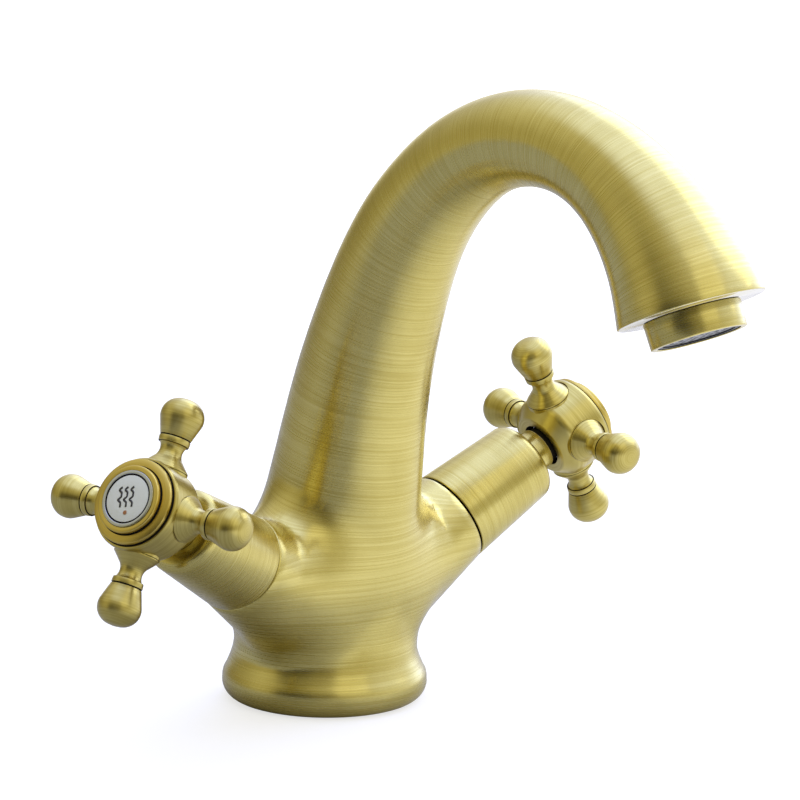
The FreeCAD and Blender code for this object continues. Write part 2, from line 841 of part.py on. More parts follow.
def spindle(name, frame):
    """The turned spindle: drive flange and tang, ring groove, clip groove and splined end."""
    radius = size("spindle_radius")
    ring_floor = radius - size("spindle_ring_depth")
    clip_floor = radius - size("clip_groove_depth")
    flange_top = turning_top + size("spindle_flange_thickness")
    screw_low = counterbore_floor - size("screw_length") - clearance * 4
    corners = [
        (ZERO, turning_top),
        (size("spindle_flange_radius"), turning_top),
        (size("spindle_flange_radius"), flange_top),
        (radius, flange_top),
        (radius, ring_low),
        (ring_floor, ring_low),
        (ring_floor, ring_top),
        (radius, ring_top),
        (radius, clip_low),
        (clip_floor, clip_low),
        (clip_floor, clip_top),
        (radius, clip_top),
        (radius, hub_seat),
        (size("spline_radius"), hub_seat),
        (size("spline_radius"), spline_end),
        (screw_bore, spline_end),
        (screw_bore, screw_low),
        (ZERO, screw_low),
    ]
    shaft = turned(name, corners, frame)
    centred_box(
        shaft,
        "AdditiveBox",
        "drive_tang",
        turning_top - size("drive_tang_depth"),
        size("drive_tang_length"),
        size("drive_tang_width"),
        size("drive_tang_depth"),
    )
    groove = shaped(
        shaft,
        "SubtractiveCylinder",
        "spline_groove",
        Placement(Vector(mm("spline_radius"), 0, 0), Rotation()),
        hub_seat,
        Radius=size("spline_groove_radius"),
        Height=spline_end - hub_seat,
    )
    groove.setExpression("AttachmentOffset.Base.x", size("spline_radius").formula)
    repeated(shaft, groove, size("spline_count"))


def spindle_clip(name, frame):
    """The open spring clip that stops the spindle from sinking into the collar."""
    inner = size("spindle_radius") - size("clip_groove_depth")
    clip = turned(name, tube_corners(inner, size("clip_radius"), clip_low, clip_top), frame)
    mouth = size("clip_mouth")
    cut = shaped(
        clip,
        "SubtractiveBox",
        "mouth",
        Placement(),
        clip_low,
        Length=size("clip_radius") * 2,
        Width=mouth,
        Height=size("clip_thickness"),
    )
    cut.setExpression("AttachmentOffset.Base.y", (mouth * -0.5).formula)
    doc.recompute()


# ---------------------------------------------------------------- handles

spoke_seat = size("spoke_seat")
spoke_bore = size("spoke_stud_radius") + clearance
spoke_stud_low = spoke_seat - size("spoke_stud_length")
bezel_spigot_radius = size("hub_counterbore_radius") - clearance
bezel_back = size("hub_front_station") + size("bezel_gap")
bezel_front = bezel_back + size("bezel_height")
pocket_floor = bezel_front - size("bezel_pocket_depth")


def radial(height):
    """The placement of a primitive that points outwards from a hub's axis."""
    return Placement(Vector(0, 0, height), Rotation(Vector(0, 1, 0), 90))


def hub(name, frame):
    """The turned hub with four low bosses, each spot-faced and tapped for a spoke."""
    back = size("hub_back_station")
    front = size("hub_front_station")
    bore = size("spline_radius") + clearance
    shoulder_low = back + size("hub_back_slope")
    shoulder_high = front - size("hub_front_slope")
    corners = [
        (size("hub_recess_radius"), back),
        (size("hub_back_radius"), back),
        (size("hub_radius"), shoulder_low),
        (size("hub_radius"), shoulder_high),
        (size("hub_front_radius"), front),
        (size("hub_counterbore_radius"), front),
        (size("hub_counterbore_radius"), counterbore_floor),
        (bore, counterbore_floor),
        (bore, hub_seat),
        (size("hub_recess_radius"), hub_seat),
    ]
    handle = turned(name, corners, frame)
    rounded(handle, size("hub_back_rounding"), [(size("hub_radius"), shoulder_low)])
    rounded(handle, size("hub_front_rounding"), [(size("hub_radius"), shoulder_high)])
    station = size("spoke_station")
    inside = size("hub_boss_root")
    boss = shaped(
        handle,
        "AdditiveCylinder",
        "boss",
        radial(station.value).multiply(Placement(Vector(0, 0, inside.value), Rotation())),
        station,
        Radius=size("spoke_foot_radius"),
        Height=spoke_seat - inside,
    )
    boss.setExpression("AttachmentOffset.Base.x", inside.formula)
    repeated(handle, boss, 4)
    facing = shaped(
        handle,
        "SubtractiveCylinder",
        "spot_face",
        radial(station.value).multiply(Placement(Vector(0, 0, spoke_seat.value), Rotation())),
        station,
        Radius=size("spoke_foot_radius") + clearance * 2,
        Height=size("hub_radius") * 0.5,
    )
    facing.setExpression("AttachmentOffset.Base.x", spoke_seat.formula)
    repeated(handle, facing, 4)
    tapping = shaped(
        handle,
        "SubtractiveCylinder",
        "spoke_tapping",
        radial(station.value).multiply(Placement(Vector(0, 0, spoke_stud_low.value), Rotation())),
        station,
        Radius=spoke_bore,
        Height=size("spoke_stud_length"),
    )
    tapping.setExpression("AttachmentOffset.Base.x", spoke_stud_low.formula)
    repeated(handle, tapping, 4)


def spoke(name, frame):
    """A turned spoke: stud, trumpet foot, neck, bead and bulb with a domed end."""
    foot_top = spoke_seat + size("spoke_foot_thickness")
    stud_end = spoke_stud_low + clearance * 4
    neck = (size("spoke_neck_radius"), size("spoke_neck_height"))
    shoulder = (size("spoke_bulb_radius"), size("spoke_bulb_shoulder"))
    cap = (size("spoke_cap_radius"), size("spoke_cap_start"))
    corners = [
        (ZERO, stud_end),
        (size("spoke_stud_radius"), stud_end),
        (size("spoke_stud_radius"), spoke_seat),
        (size("spoke_foot_radius"), spoke_seat),
        (size("spoke_foot_radius"), foot_top),
        neck,
        (size("spoke_bead_radius"), size("spoke_bead_start")),
        (size("spoke_bead_radius"), size("spoke_bead_end")),
        (size("spoke_groove_radius"), size("spoke_bead_end")),
        (size("spoke_groove_radius"), size("spoke_bulb_start")),
        (size("spoke_bulb_start_radius"), size("spoke_bulb_start")),
        shoulder,
        cap,
        (ZERO, size("spoke_end")),
    ]
    turning = turned(name, corners, frame)
    rounded(turning, size("spoke_neck_rounding"), [neck])
    rounded(turning, size("spoke_rounding"), [shoulder, cap])


def handle_screw(name, frame):
    """The screw that draws the hub down on the spindle's shoulder."""
    head_top = counterbore_floor + size("screw_head_height")
    socket_floor = head_top - size("screw_socket_depth")
    tip = counterbore_floor - size("screw_length")
    corners = [
        (ZERO, tip),
        (size("screw_radius"), tip),
        (size("screw_radius"), counterbore_floor),
        (size("screw_head_radius"), counterbore_floor),
        (size("screw_head_radius"), head_top),
        (ZERO, head_top),
    ]
    screw = turned(name, corners, frame)
    shaped(
        screw,
        "SubtractivePrism",
        "socket",
        Placement(),
        socket_floor,
        Circumradius=size("screw_socket_radius"),
        Height=size("screw_socket_depth"),
    )


def index_bezel(name, frame):
    """The stepped cap: a spigot in the hub's counterbore, a flange and a raised collar."""
    step_low = bezel_back + size("bezel_flange_thickness")
    step_high = step_low + size("bezel_step_height")
    spigot_low = bezel_back - size("bezel_spigot_length")
    inside = bezel_spigot_radius - size("bezel_spigot_wall")
    corners = [
        (ZERO, bezel_back),
        (inside, bezel_back),
        (inside, spigot_low),
        (bezel_spigot_radius, spigot_low),
        (bezel_spigot_radius, bezel_back),
        (size("bezel_flange_radius"), bezel_back),
        (size("bezel_flange_radius"), step_low),
        (size("bezel_step_radius"), step_high),
        (size("bezel_collar_radius"), step_high),
        (size("bezel_collar_radius"), bezel_front),
        (size("bezel_pocket_radius"), bezel_front),
        (size("bezel_pocket_radius"), pocket_floor),
        (ZERO, pocket_floor),
    ]
    cap = turned(name, corners, frame)
    rounded(
        cap,
        size("shell_rounding"),
        [
            (size("bezel_flange_radius"), step_low),
            (size("bezel_collar_radius"), bezel_front),
        ],
    )


def index_ring(name, frame):
    """The bright ring between the cap and its button."""
    outside = size("bezel_pocket_radius") - clearance
    inside = outside - size("index_ring_width")
    top = bezel_front + size("index_ring_rise")
    turned(name, tube_corners(inside, outside, pocket_floor, top), frame)


def index_button(name, frame):
    """The white index button, slightly crowned."""
    edge = size("bezel_pocket_radius") - clearance * 2 - size("index_ring_width")
    top = bezel_front + size("index_ring_rise") - size("index_button_crown") * 0.5
    corners = [
        (ZERO, pocket_floor),
        (edge, pocket_floor),
        (edge, top),
        (edge * 0.6, top + size("index_button_crown") * 0.7),
        (ZERO, top + size("index_button_crown")),
    ]
    turned(name, corners, frame)


# ---------------------------------------------------------------- both sides

for prefix, side in (("hot_", -1), ("cold_", 1)):
    arm = arm_frame(side)
    spoke_turn = Rotation(Vector(0, 0, 1), mm(prefix + "spoke_turn"))
    handle = arm.multiply(Placement(Vector(), spoke_turn))
    shroud(prefix + "shroud", arm)
    valve_body(prefix + "valve_body", arm)
    gasket = tube_corners(gasket_inner + clearance, barrel_radius, gasket_low, gasket_top)
    turned(prefix + "valve_gasket", gasket, arm)
    ported_disc(prefix + "seat_seal", arm, bore_floor, size("seat_seal_thickness"))
    ported_disc(prefix + "fixed_disc", arm, seal_top, size("fixed_disc_thickness"))
    turning_disc(prefix + "turning_disc", arm)
    spindle(prefix + "spindle", arm)
    ring_inner = size("spindle_radius") - size("spindle_ring_depth")
    spindle_ring = tube_corners(ring_inner, size("spindle_radius"), ring_low, ring_top)
    turned(prefix + "spindle_ring", spindle_ring, arm)
    spindle_clip(prefix + "spindle_clip", arm)
    hub(prefix + "hub", handle)
    handle_screw(prefix + "handle_screw", handle)
    index_bezel(prefix + "index_bezel", handle)
    index_ring(prefix + "index_ring", handle)
    index_button(prefix + "index_button", handle)
    for number in range(4):
        about_axis = Placement(Vector(), Rotation(Vector(0, 0, 1), 90.0 * number))
        outwards = radial(mm("spoke_station"))
        spoke(f"{prefix}spoke_{number + 1}", handle.multiply(about_axis).multiply(outwards))


# ---------------------------------------------------------------- checks and export

doc.recompute()
os.makedirs("parts", exist_ok=True)
for feature in doc.Objects:
    if "Invalid" in feature.State or "Error" in feature.State:
        raise RuntimeError(f"{feature.Label} failed: {feature.State}")
for piece in pieces:
    if piece.Shape.isNull() or not piece.Shape.isValid() or not piece.Shape.Solids:
        raise RuntimeError(f"{piece.Label} has no valid solid")
for piece in pieces:
    piece.Shape.exportStep(os.path.join("parts", piece.Label + ".step"))
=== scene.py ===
import json
import math

import bmesh
import bpy
from mathutils import Matrix, Vector
from mathutils.kdtree import KDTree

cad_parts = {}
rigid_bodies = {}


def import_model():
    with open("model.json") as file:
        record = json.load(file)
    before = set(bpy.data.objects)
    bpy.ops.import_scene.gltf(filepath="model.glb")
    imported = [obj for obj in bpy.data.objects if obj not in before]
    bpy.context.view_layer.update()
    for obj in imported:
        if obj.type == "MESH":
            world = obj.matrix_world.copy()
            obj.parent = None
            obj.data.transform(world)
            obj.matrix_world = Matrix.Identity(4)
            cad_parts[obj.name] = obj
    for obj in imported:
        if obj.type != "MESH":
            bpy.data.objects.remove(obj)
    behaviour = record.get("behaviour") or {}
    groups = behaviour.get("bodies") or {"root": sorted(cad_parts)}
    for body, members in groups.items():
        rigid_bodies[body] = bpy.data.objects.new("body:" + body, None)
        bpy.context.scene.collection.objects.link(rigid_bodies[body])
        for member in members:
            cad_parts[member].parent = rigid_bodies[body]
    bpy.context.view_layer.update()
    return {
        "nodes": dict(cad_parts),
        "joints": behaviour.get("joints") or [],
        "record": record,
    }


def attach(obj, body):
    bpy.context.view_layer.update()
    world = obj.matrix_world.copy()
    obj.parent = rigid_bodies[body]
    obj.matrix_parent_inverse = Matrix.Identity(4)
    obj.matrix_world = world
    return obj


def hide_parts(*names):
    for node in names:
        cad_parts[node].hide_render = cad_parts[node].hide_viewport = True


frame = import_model()
MM = 0.001


# ---------------------------------------------------------------- mixer body
# One hollow brass casting: foot, column, two arms and the swan neck. It is brushed with a fine
# belt, so its hairlines run round the foot and the column and straight across the neck.

NECK_START_HEIGHT = 14.5
NECK_LEGS = ((92.0, 11.0), (None, 40.7), (203.0, 25.0), (75.0, 52.0), (45.5, 125.0), (66.0, 156.8))
NECK_STRIDE = 0.5
BRUSHING_UNIT = 50


def neck_line():
    """Points of the neck's centre line: (centre, way it runs, length so far), in metres."""
    y = 0.0
    z = NECK_START_HEIGHT
    angle = 0.0
    length = 0.0
    line = [(Vector((0, 0, -z)) * MM, Vector((0, 0, 1)), -2 * z * MM)]
    line.append((Vector((0, y, z)) * MM, Vector((0, 0, 1)), 0.0))
    for radius, target in NECK_LEGS:
        turn = 0.0 if radius is None else math.radians(target) - angle
        leg = target if radius is None else radius * turn
        steps = math.ceil(leg / NECK_STRIDE)
        for _ in range(steps):
            angle += turn / steps / 2
            y -= leg / steps * math.sin(angle)
            z += leg / steps * math.cos(angle)
            angle += turn / steps / 2
            length += leg / steps
            heading = Vector((0, -math.sin(angle), math.cos(angle)))
            line.append((Vector((0, y, z)) * MM, heading, length * MM))
    return line


neck = neck_line()
neck_tree = KDTree(len(neck))
for number, (centre, heading, length) in enumerate(neck):
    neck_tree.insert(centre, number)
neck_tree.balance()


def neck_place(point):
    """Where a point lies beside the neck: across it, in its bend, and along it."""
    if point.z < NECK_START_HEIGHT * MM:
        return Vector((point.x, point.y, point.z - NECK_START_HEIGHT * MM))
    centre, heading, length = neck[neck_tree.find(Vector((0, point.y, point.z)))[1]]
    outwards = Vector((1, 0, 0)).cross(heading)
    offset = point - centre
    return Vector((offset.x, -offset.dot(outwards), length + offset.dot(heading)))


def comb(mesh, place_of, facing=0.0):
    """Store how a mesh was brushed: points of one third coordinate lie on one hairline."""
    grain = mesh.attributes.new("grain", "FLOAT_VECTOR", "POINT")
    places = []
    for vertex, item in zip(mesh.vertices, grain.data):
        place = place_of(vertex.co)
        place.z -= facing * math.hypot(place.x, place.y)
        item.vector = place
        places.append(place)
    ways = mesh.uv_layers.new(name="brushing")
    for face in mesh.polygons:
        first = None
        for loop in face.loop_indices:
            place = places[mesh.loops[loop].vertex_index]
            turn = math.atan2(place.y, place.x) / math.tau
            first = turn if first is None else first
            ways.data[loop].uv = (turn + round(first - turn), place.z / MM / BRUSHING_UNIT)


def wired(tree, kind, settings=None, **inputs):
    """Add a node. Inputs are given by name, with _ for a space, as numbers or as sockets."""
    node = tree.nodes.new("ShaderNode" + kind)
    for key, setting in (settings or {}).items():
        setattr(node, key, setting)
    for key, given in inputs.items():
        socket = node.inputs[int(key[1:]) if key[1:].isdigit() else key.replace("_", " ")]
        if isinstance(given, bpy.types.NodeSocket):
            tree.links.new(given, socket)
        else:
            socket.default_value = given
    return node


def new_material(name):
    """An empty node material and its surface shader."""
    material = bpy.data.materials.new(name)
    material.use_nodes = True
    tree = material.node_tree
    tree.nodes.clear()
    shader = wired(tree, "BsdfPrincipled")
    tree.links.new(shader.outputs["BSDF"], wired(tree, "OutputMaterial").inputs["Surface"])
    return material, tree, shader


def noise(tree, place, scale, detail=2.0):
    """Noise over a stretched copy of a place; the scale is per metre along each axis."""
    stretched = wired(tree, "Mapping", Vector=place, Scale=scale)
    return wired(
        tree, "TexNoise", Vector=stretched.outputs[0], Scale=1.0, Detail=detail, Roughness=0.6
    ).outputs["Fac"]


def blended(tree, kind, factor, first, second):
    """Mix two colours."""
    settings = {"data_type": "RGBA", "blend_type": kind}
    return wired(tree, "Mix", settings, Factor=factor, _6=first, _7=second).outputs[2]


def ranged(tree, value, low, high, from_low=0.3, from_high=0.7, kind="LINEAR"):
    """Spread a value over a range."""
    keys = {"From_Min": from_low, "From_Max": from_high, "To_Min": low, "To_Max": high}
    node = wired(tree, "MapRange", {"interpolation_type": kind}, Value=value, **keys)
    return node.outputs["Result"]


def worked(tree, operation, *inputs):
    """A sum worked out on sockets and numbers."""
    keys = {f"_{number}": given for number, given in enumerate(inputs)}
    return wired(tree, "Math", {"operation": operation}, **keys).outputs[0]


BRASS_LIGHT = (0.80, 0.690, 0.235)
BRASS_DARK = (0.60, 0.485, 0.115)
BRASS_STAIN = (0.74, 0.70, 0.52)


def tinted(colour, tint):
    """A colour times a tint, with no see-through."""
    return (*(part * share for part, share in zip(colour, tint)), 1.0)


def brushed_brass(name, around, along, roughness=0.30, contrast=1.0, tint=(1, 1, 1), ways="uv"):
    """Satin brass under a thin clear lacquer, with hairlines along the stored brushing."""
    material, tree, shader = new_material(name)
    grain = wired(tree, "Attribute", {"attribute_name": "grain"}).outputs["Vector"]
    body = wired(tree, "TexCoord").outputs["Object"]
    fine = noise(tree, grain, (around, around, along), 3.0)
    long = noise(tree, grain, (around * 0.3, around * 0.3, along * 0.42))
    cloud = noise(tree, body, (34.0, 34.0, 34.0), 3.0)
    hairs = worked(tree, "MULTIPLY_ADD", long, 0.35, fine)
    hairs = ranged(tree, hairs, 0.5 - 0.5 * contrast, 0.5 + 0.5 * contrast, 0.46, 0.90)
    colour = blended(tree, "MIX", hairs, tinted(BRASS_DARK, tint), tinted(BRASS_LIGHT, tint))
    stained = ranged(tree, cloud, 0.0, 0.6, 0.45, 0.75)
    colour = blended(tree, "MULTIPLY", stained, colour, (*BRASS_STAIN, 1.0))
    tree.links.new(colour, shader.inputs["Base Color"])
    shader.inputs["Metallic"].default_value = 1.0
    rough = ranged(tree, hairs, roughness + 0.04, roughness - 0.04, 0.0, 1.0)
    tree.links.new(rough, shader.inputs["Roughness"])
    shader.inputs["Anisotropic"].default_value = 0.6
    shader.inputs["Anisotropic Rotation"].default_value = 0.25
    if ways == "uv":
        way = wired(tree, "Tangent", {"direction_type": "UV_MAP", "uv_map": "brushing"}).outputs[0]
    else:
        way = wired(tree, "Attribute", {"attribute_name": ways}).outputs["Vector"]
    tree.links.new(way, shader.inputs["Tangent"])
    shader.inputs["Coat Weight"].default_value = 0.2
    shader.inputs["Coat Roughness"].default_value = 0.3
    bump = wired(tree, "Bump", Strength=0.06, Distance=0.00002, Height=hairs)
    tree.links.new(bump.outputs[0], shader.inputs["Normal"])
    return material


def painted_shade_finish(name):
    """Painted shade for a recess or a seam: near-black brass where the shade falls."""
    material, tree, shader = new_material(name)
    body = wired(tree, "TexCoord").outputs["Object"]
    cloud = noise(tree, body, (900.0, 900.0, 900.0), 4.0)
    colour = blended(tree, "MIX", cloud, (0.006, 0.005, 0.003, 1), (0.03, 0.022, 0.009, 1))
    tree.links.new(colour, shader.inputs["Base Color"])
    tree.links.new(ranged(tree, cloud, 0.6, 0.85), shader.inputs["Roughness"])
    shader.inputs["Specular IOR Level"].default_value = 0.2
    return material


def new_piece(name, mesh, body, slot, *stands_for):
    """Put a finished mesh in the scene, riding on a body in place of CAD nodes."""
    piece = bpy.data.objects.new(name, mesh)
    bpy.context.scene.collection.objects.link(piece)
    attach(piece, body)
    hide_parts(*stands_for)


def smooth(mesh, crease=32.0):
    """Smooth shading that keeps the edges sharper than an angle."""
    mesh.shade_smooth()
    mesh.set_sharp_from_angle(angle=math.radians(crease))


def merged_copy(node, name):
    """A copy of a CAD node's mesh with its doubled corners merged."""
    mesh = frame["nodes"][node].data.copy()
    mesh.name = name
    mesh.materials.clear()
    bm = bmesh.new()
    bm.from_mesh(mesh)
    bmesh.ops.remove_doubles(bm, verts=bm.verts, dist=1e-6)
    bm.to_mesh(mesh)
    bm.free()
    return mesh


BODY_BRASS = brushed_brass("Body brass, belt brushed", 17.0, 2300.0, 0.27, 0.8, ways="hair_way")
# Painted shade: this near-black finish goes on seams, grooves and recesses where the shade falls.
PAINTED_SHADE_BRASS = painted_shade_finish("Seams, dark with polish")

# The arms are cones, and the column's radius is a polynomial of the height along it.
ARM_MEET = Vector((0, 0, 22.0)) * MM
ARM_END = 45.0
ARM_END_RADIUS = 12.8
ARM_TAPER = 5.7 / 37.0
ARM_CUTS = range(10, 44, 2)
COLUMN_TAPER = (23.586, -0.054604, -0.00090829, 7.4545e-06)
FOOT_SPREAD = 0.05

# The hollow between column and arm is tight in the crotch and under the arm, and wide beside it.
CROTCH_SWELL = 14.0
SIDE_SWELL = 120.0
UNDER_SWELL = 13.0
UNDER_TO_SIDE = (-0.75, -0.1)
SWELL_STARTS = (9.0, 15.0)
SWELL_ENDS = (34.0, 43.0)
CAST_HEIGHTS = (9.0, 72.0)
ON_SURFACE = 0.15
SKIN_DEPTH = 0.3
SETTLING_ROUNDS = 4

# The waist of the foot is drawn out a little between these heights.
WAIST_SWELL = 0.8
WAIST_RISE = (4.8, 10.0)
WAIST_FALL = (11.0, 19.0)
WAIST_INSIDE = 22.6
WAIST_OUTSIDE = 6.0

# The seam at the end of an arm is painted dark as shade: its chamfer and what faces outwards.
ARM_END_CHAMFER = 0.35
ARM_END_REACH = 14.0
END_LINE = 0.02
END_FACING = 0.9


def arm_place(joint):
    """The arm's own frame: Z runs outwards along the spindle and X leans upwards."""
    out = Vector(joint["axis"]).normalized()
    across = Vector((0, 0, 1)).cross(out).normalized()
    up = out.cross(across)
    turn = Matrix((up, out.cross(up), out)).transposed().to_4x4()
    return Matrix.Translation(ARM_MEET) @ turn


arms = {joint["child"].split("_")[0]: arm_place(joint) for joint in frame["joints"]}

rim_centre, rim_way, _ = neck[-1]
rim_across = Vector((1, 0, 0))
rim_turn = Matrix((rim_across, rim_way.cross(rim_across), rim_way)).transposed().to_4x4()
rim_place = Matrix.Translation(rim_centre) @ rim_turn
MOUTH_FACE = (11.2, 30.0)
MOUTH_SLACK = 0.1


def pale_brass(name):
    """The mouth's machined face, bright and paler than the brushed brass."""
    material, tree, shader = new_material(name)
    body = wired(tree, "TexCoord").outputs["Object"]
    cloud = noise(tree, body, (600.0, 600.0, 600.0), 4.0)
    colour = blended(tree, "MIX", cloud, (0.84, 0.79, 0.60, 1), (0.93, 0.89, 0.74, 1))
    tree.links.new(colour, shader.inputs["Base Color"])
    shader.inputs["Metallic"].default_value = 1.0
    tree.links.new(ranged(tree, cloud, 0.16, 0.28), shader.inputs["Roughness"])
    return material


def eased(value, low, high):
    """0 below a range, 1 above it, and a smooth rise between."""
    share = min(1.0, max(0.0, (value - low) / (high - low)))
    return share * share * (3 - 2 * share)


def out_of_column(point):
    """How far a point lies outside the column, in millimetres, and which way is out."""
    centre, heading, length = neck[neck_tree.find(Vector((0, point.y, point.z)))[1]]
    offset = point - centre
    along = offset.dot(heading)
    offset -= heading * along
    place = (length + along) / MM
    radius = COLUMN_TAPER[0] + FOOT_SPREAD * place * place
    if place > 0:
        radius = sum(part * place**power for power, part in enumerate(COLUMN_TAPER))
    return offset.length / MM - radius, offset.normalized(), heading


def out_of_arm(point, arm):
    """How far a point lies outside an arm, which way is out, and how far along the arm it is."""
    spot = arm.inverted() @ point
    station = spot.z / MM
    radius = ARM_END_RADIUS + ARM_TAPER * (ARM_END - station)
    wide = math.hypot(spot.x, spot.y)
    slope = math.hypot(1.0, ARM_TAPER)
    out = Vector((spot.x / wide, spot.y / wide, ARM_TAPER)) / slope
    return (wide / MM - radius) / slope, arm.to_3x3() @ out, station


def blend_room(point, column_out, arm_out, station):
    """How wide the casting's swell between column and arm is at a point, in millimetres."""
    swell = UNDER_SWELL + (SIDE_SWELL - UNDER_SWELL) * eased(arm_out.z, *UNDER_TO_SIDE)
    apart = swell * (1.0 - column_out.dot(arm_out)) / CROTCH_SWELL
    room = CROTCH_SWELL * (1.0 - math.exp(-apart))
    return room * eased(point.z / MM, *SWELL_STARTS) * (1.0 - eased(station, *SWELL_ENDS))


def on_cast_form(point):
    """The nearest point where column and arm blend into one soft form."""
    arm = arms["cold" if point.x > 0 else "hot"]
    point = point.copy()
    for _ in range(SETTLING_ROUNDS):
        column_gap, column_out, _ = out_of_column(point)
        arm_gap, arm_out, station = out_of_arm(point, arm)
        room = blend_room(point, column_out, arm_out, station)
        share = 1.0 if column_gap < arm_gap else 0.0
        if abs(column_gap - arm_gap) < room:
            share = 0.5 + 0.5 * (arm_gap - column_gap) / room
        slope = column_out * share + arm_out * (1 - share)
        gap = column_gap * share + arm_gap * (1 - share) - room * share * (1 - share)
        point -= slope * (gap * MM / slope.length_squared)
    return point


def cut_arm(bm, arm):
    """Cut the long faces of an arm's cone across, so that they can bend."""
    cone = []
    for face in bm.faces:
        gaps = [out_of_arm(vertex.co, arm) for vertex in face.verts]
        if all(abs(gap) < ON_SURFACE and 0 < station < ARM_END + 0.1 for gap, _, station in gaps):
            cone.append(face)
    edges = dict.fromkeys(edge for face in cone for edge in face.edges)
    corners = dict.fromkeys(vertex for face in cone for vertex in face.verts)
    geometry = cone + list(edges) + list(corners)
    for cut in ARM_CUTS:
        geometry = bmesh.ops.bisect_plane(
            bm,
            geom=geometry,
            plane_co=arm @ Vector((0, 0, cut * MM)),
            plane_no=arm.to_3x3() @ Vector((0, 0, 1)),
            dist=1e-6,
        )["geom"]


def outside_of(bm):
    """The corners on the outside of the column and arms, short of the arms' ends."""
    found = []
    for vertex in bm.verts:
        if CAST_HEIGHTS[0] * MM < vertex.co.z < CAST_HEIGHTS[1] * MM:
            column_gap, _, _ = out_of_column(vertex.co)
            arm = arms["cold" if vertex.co.x > 0 else "hot"]
            arm_gap, _, station = out_of_arm(vertex.co, arm)
            on_outside = min(column_gap, arm_gap) > -SKIN_DEPTH
            if on_outside and (station < ARM_END - 1 or column_gap < 1):
                found.append(vertex)
    return found


def cast_form(bm):
    """Draw column, arms and foot into one soft casting form, on the outside of the body only."""
    for arm in arms.values():
        cut_arm(bm, arm)
    bmesh.ops.triangulate(bm, faces=[face for face in bm.faces if len(face.verts) > 3])
    skin = outside_of(bm)
    axes = {"use_axis_x": True, "use_axis_y": True, "use_axis_z": True}
    for _ in range(SETTLING_ROUNDS):
        for vertex in skin:
            vertex.co = on_cast_form(vertex.co)
        bmesh.ops.smooth_vert(bm, verts=skin, factor=0.5, **axes)
    for vertex in skin:
        vertex.co = on_cast_form(vertex.co)
    for vertex in bm.verts:
        wide = math.hypot(vertex.co.x, vertex.co.y) / MM
        height = vertex.co.z / MM
        at_waist = wide > WAIST_INSIDE and WAIST_RISE[0] < height < WAIST_FALL[1]
        if at_waist and out_of_column(vertex.co)[0] < WAIST_OUTSIDE:
            swell = WAIST_SWELL * eased(height, *WAIST_RISE) * (1.0 - eased(height, *WAIST_FALL))
            vertex.co += Vector((vertex.co.x, vertex.co.y, 0)) * swell / wide


body_mesh = merged_copy("mixer_body", "cast_body")
bm = bmesh.new()
bm.from_mesh(body_mesh)
cast_form(bm)
bm.to_mesh(body_mesh)
bm.free()
comb(body_mesh, neck_place)
hair_way = body_mesh.attributes.new("hair_way", "FLOAT_VECTOR", "POINT")
for vertex, item in zip(body_mesh.vertices, hair_way.data):
    _, outwards, heading = out_of_column(vertex.co)
    item.vector = heading.cross(outwards)
for material in (BODY_BRASS, PAINTED_SHADE_BRASS, pale_brass("Mouth face, bright turned")):
    body_mesh.materials.append(material)
to_arms = [place.inverted() for place in arms.values()]
to_rim = rim_place.inverted()
for face in body_mesh.polygons:
    for to_arm in to_arms:
        spot = to_arm @ face.center / MM
        near_axis = math.hypot(spot.x, spot.y) < ARM_END_REACH
        if near_axis and spot.z > ARM_END - ARM_END_CHAMFER:
            facing = (to_arm.to_3x3() @ face.normal).z
            # Painted shade on the faces in the seam at the arm's end.
            if spot.z > ARM_END + END_LINE or facing > END_FACING:
                face.material_index = 1
    spot = to_rim @ face.center / MM
    if abs(spot.z) < MOUTH_SLACK and MOUTH_FACE[0] < math.hypot(spot.x, spot.y) < MOUTH_FACE[1]:
        face.material_index = 2
smooth(body_mesh)
new_piece("cast_body", body_mesh, "body", "body_brass", "mixer_body")


# ---------------------------------------------------------------- shrouds
# A turned brass sleeve slides over each valve and closes on the arm with a fine seam, painted
# dark as shade. It is brushed on the lathe and its outer end is rounded over.

spin_middle = Vector((0, 0, 0))
spin_axis = Vector((0, 0, 1))


def ring_of(bm, radius, height):
    """The edges that run round at one radius and height, in millimetres."""
    found = []
    for edge in bm.edges:
        off = [
            abs(math.hypot(v.co.x, v.co.y) - radius * MM) + abs(v.co.z - height * MM)
            for v in edge.verts
        ]
        if max(off) < 1e-6:
            found.append(edge)
    return found


def lathe(corners, steps=96, closed=True):
    """Spin (radius, height, rounding) corners, in millimetres, about Z and round their rings."""
    bm = bmesh.new()
    points = [bm.verts.new((radius * MM, 0, height * MM)) for radius, height, _ in corners]
    ends = points[1:] + (points[:1] if closed else [])
    lines = [bm.edges.new(pair) for pair in zip(points, ends)]
    spots = [point.co.copy() for point in points]
    bmesh.ops.spin(
        bm,
        geom=points + lines,
        cent=spin_middle,
        axis=spin_axis,
        angle=math.tau,
        steps=steps,
        use_merge=True,
    )
    bmesh.ops.remove_doubles(bm, verts=bm.verts, dist=1e-7)
    bmesh.ops.recalc_face_normals(bm, faces=bm.faces)
    for number, (radius, height, rounding) in enumerate(corners):
        if rounding:
            before = spots[number - 1] - spots[number]
            after = spots[(number + 1) % len(spots)] - spots[number]
            reach = rounding * MM / math.tan(before.angle(after) / 2)
            bmesh.ops.bevel(
                bm,
                geom=ring_of(bm, radius, height),
                offset=min(reach, 0.9 * before.length, 0.9 * after.length),
                segments=max(2, min(10, round(rounding * 2) + 2)),
                profile=0.5,
                affect="EDGES",
                clamp_overlap=True,
                material=-1,
            )
    return bm


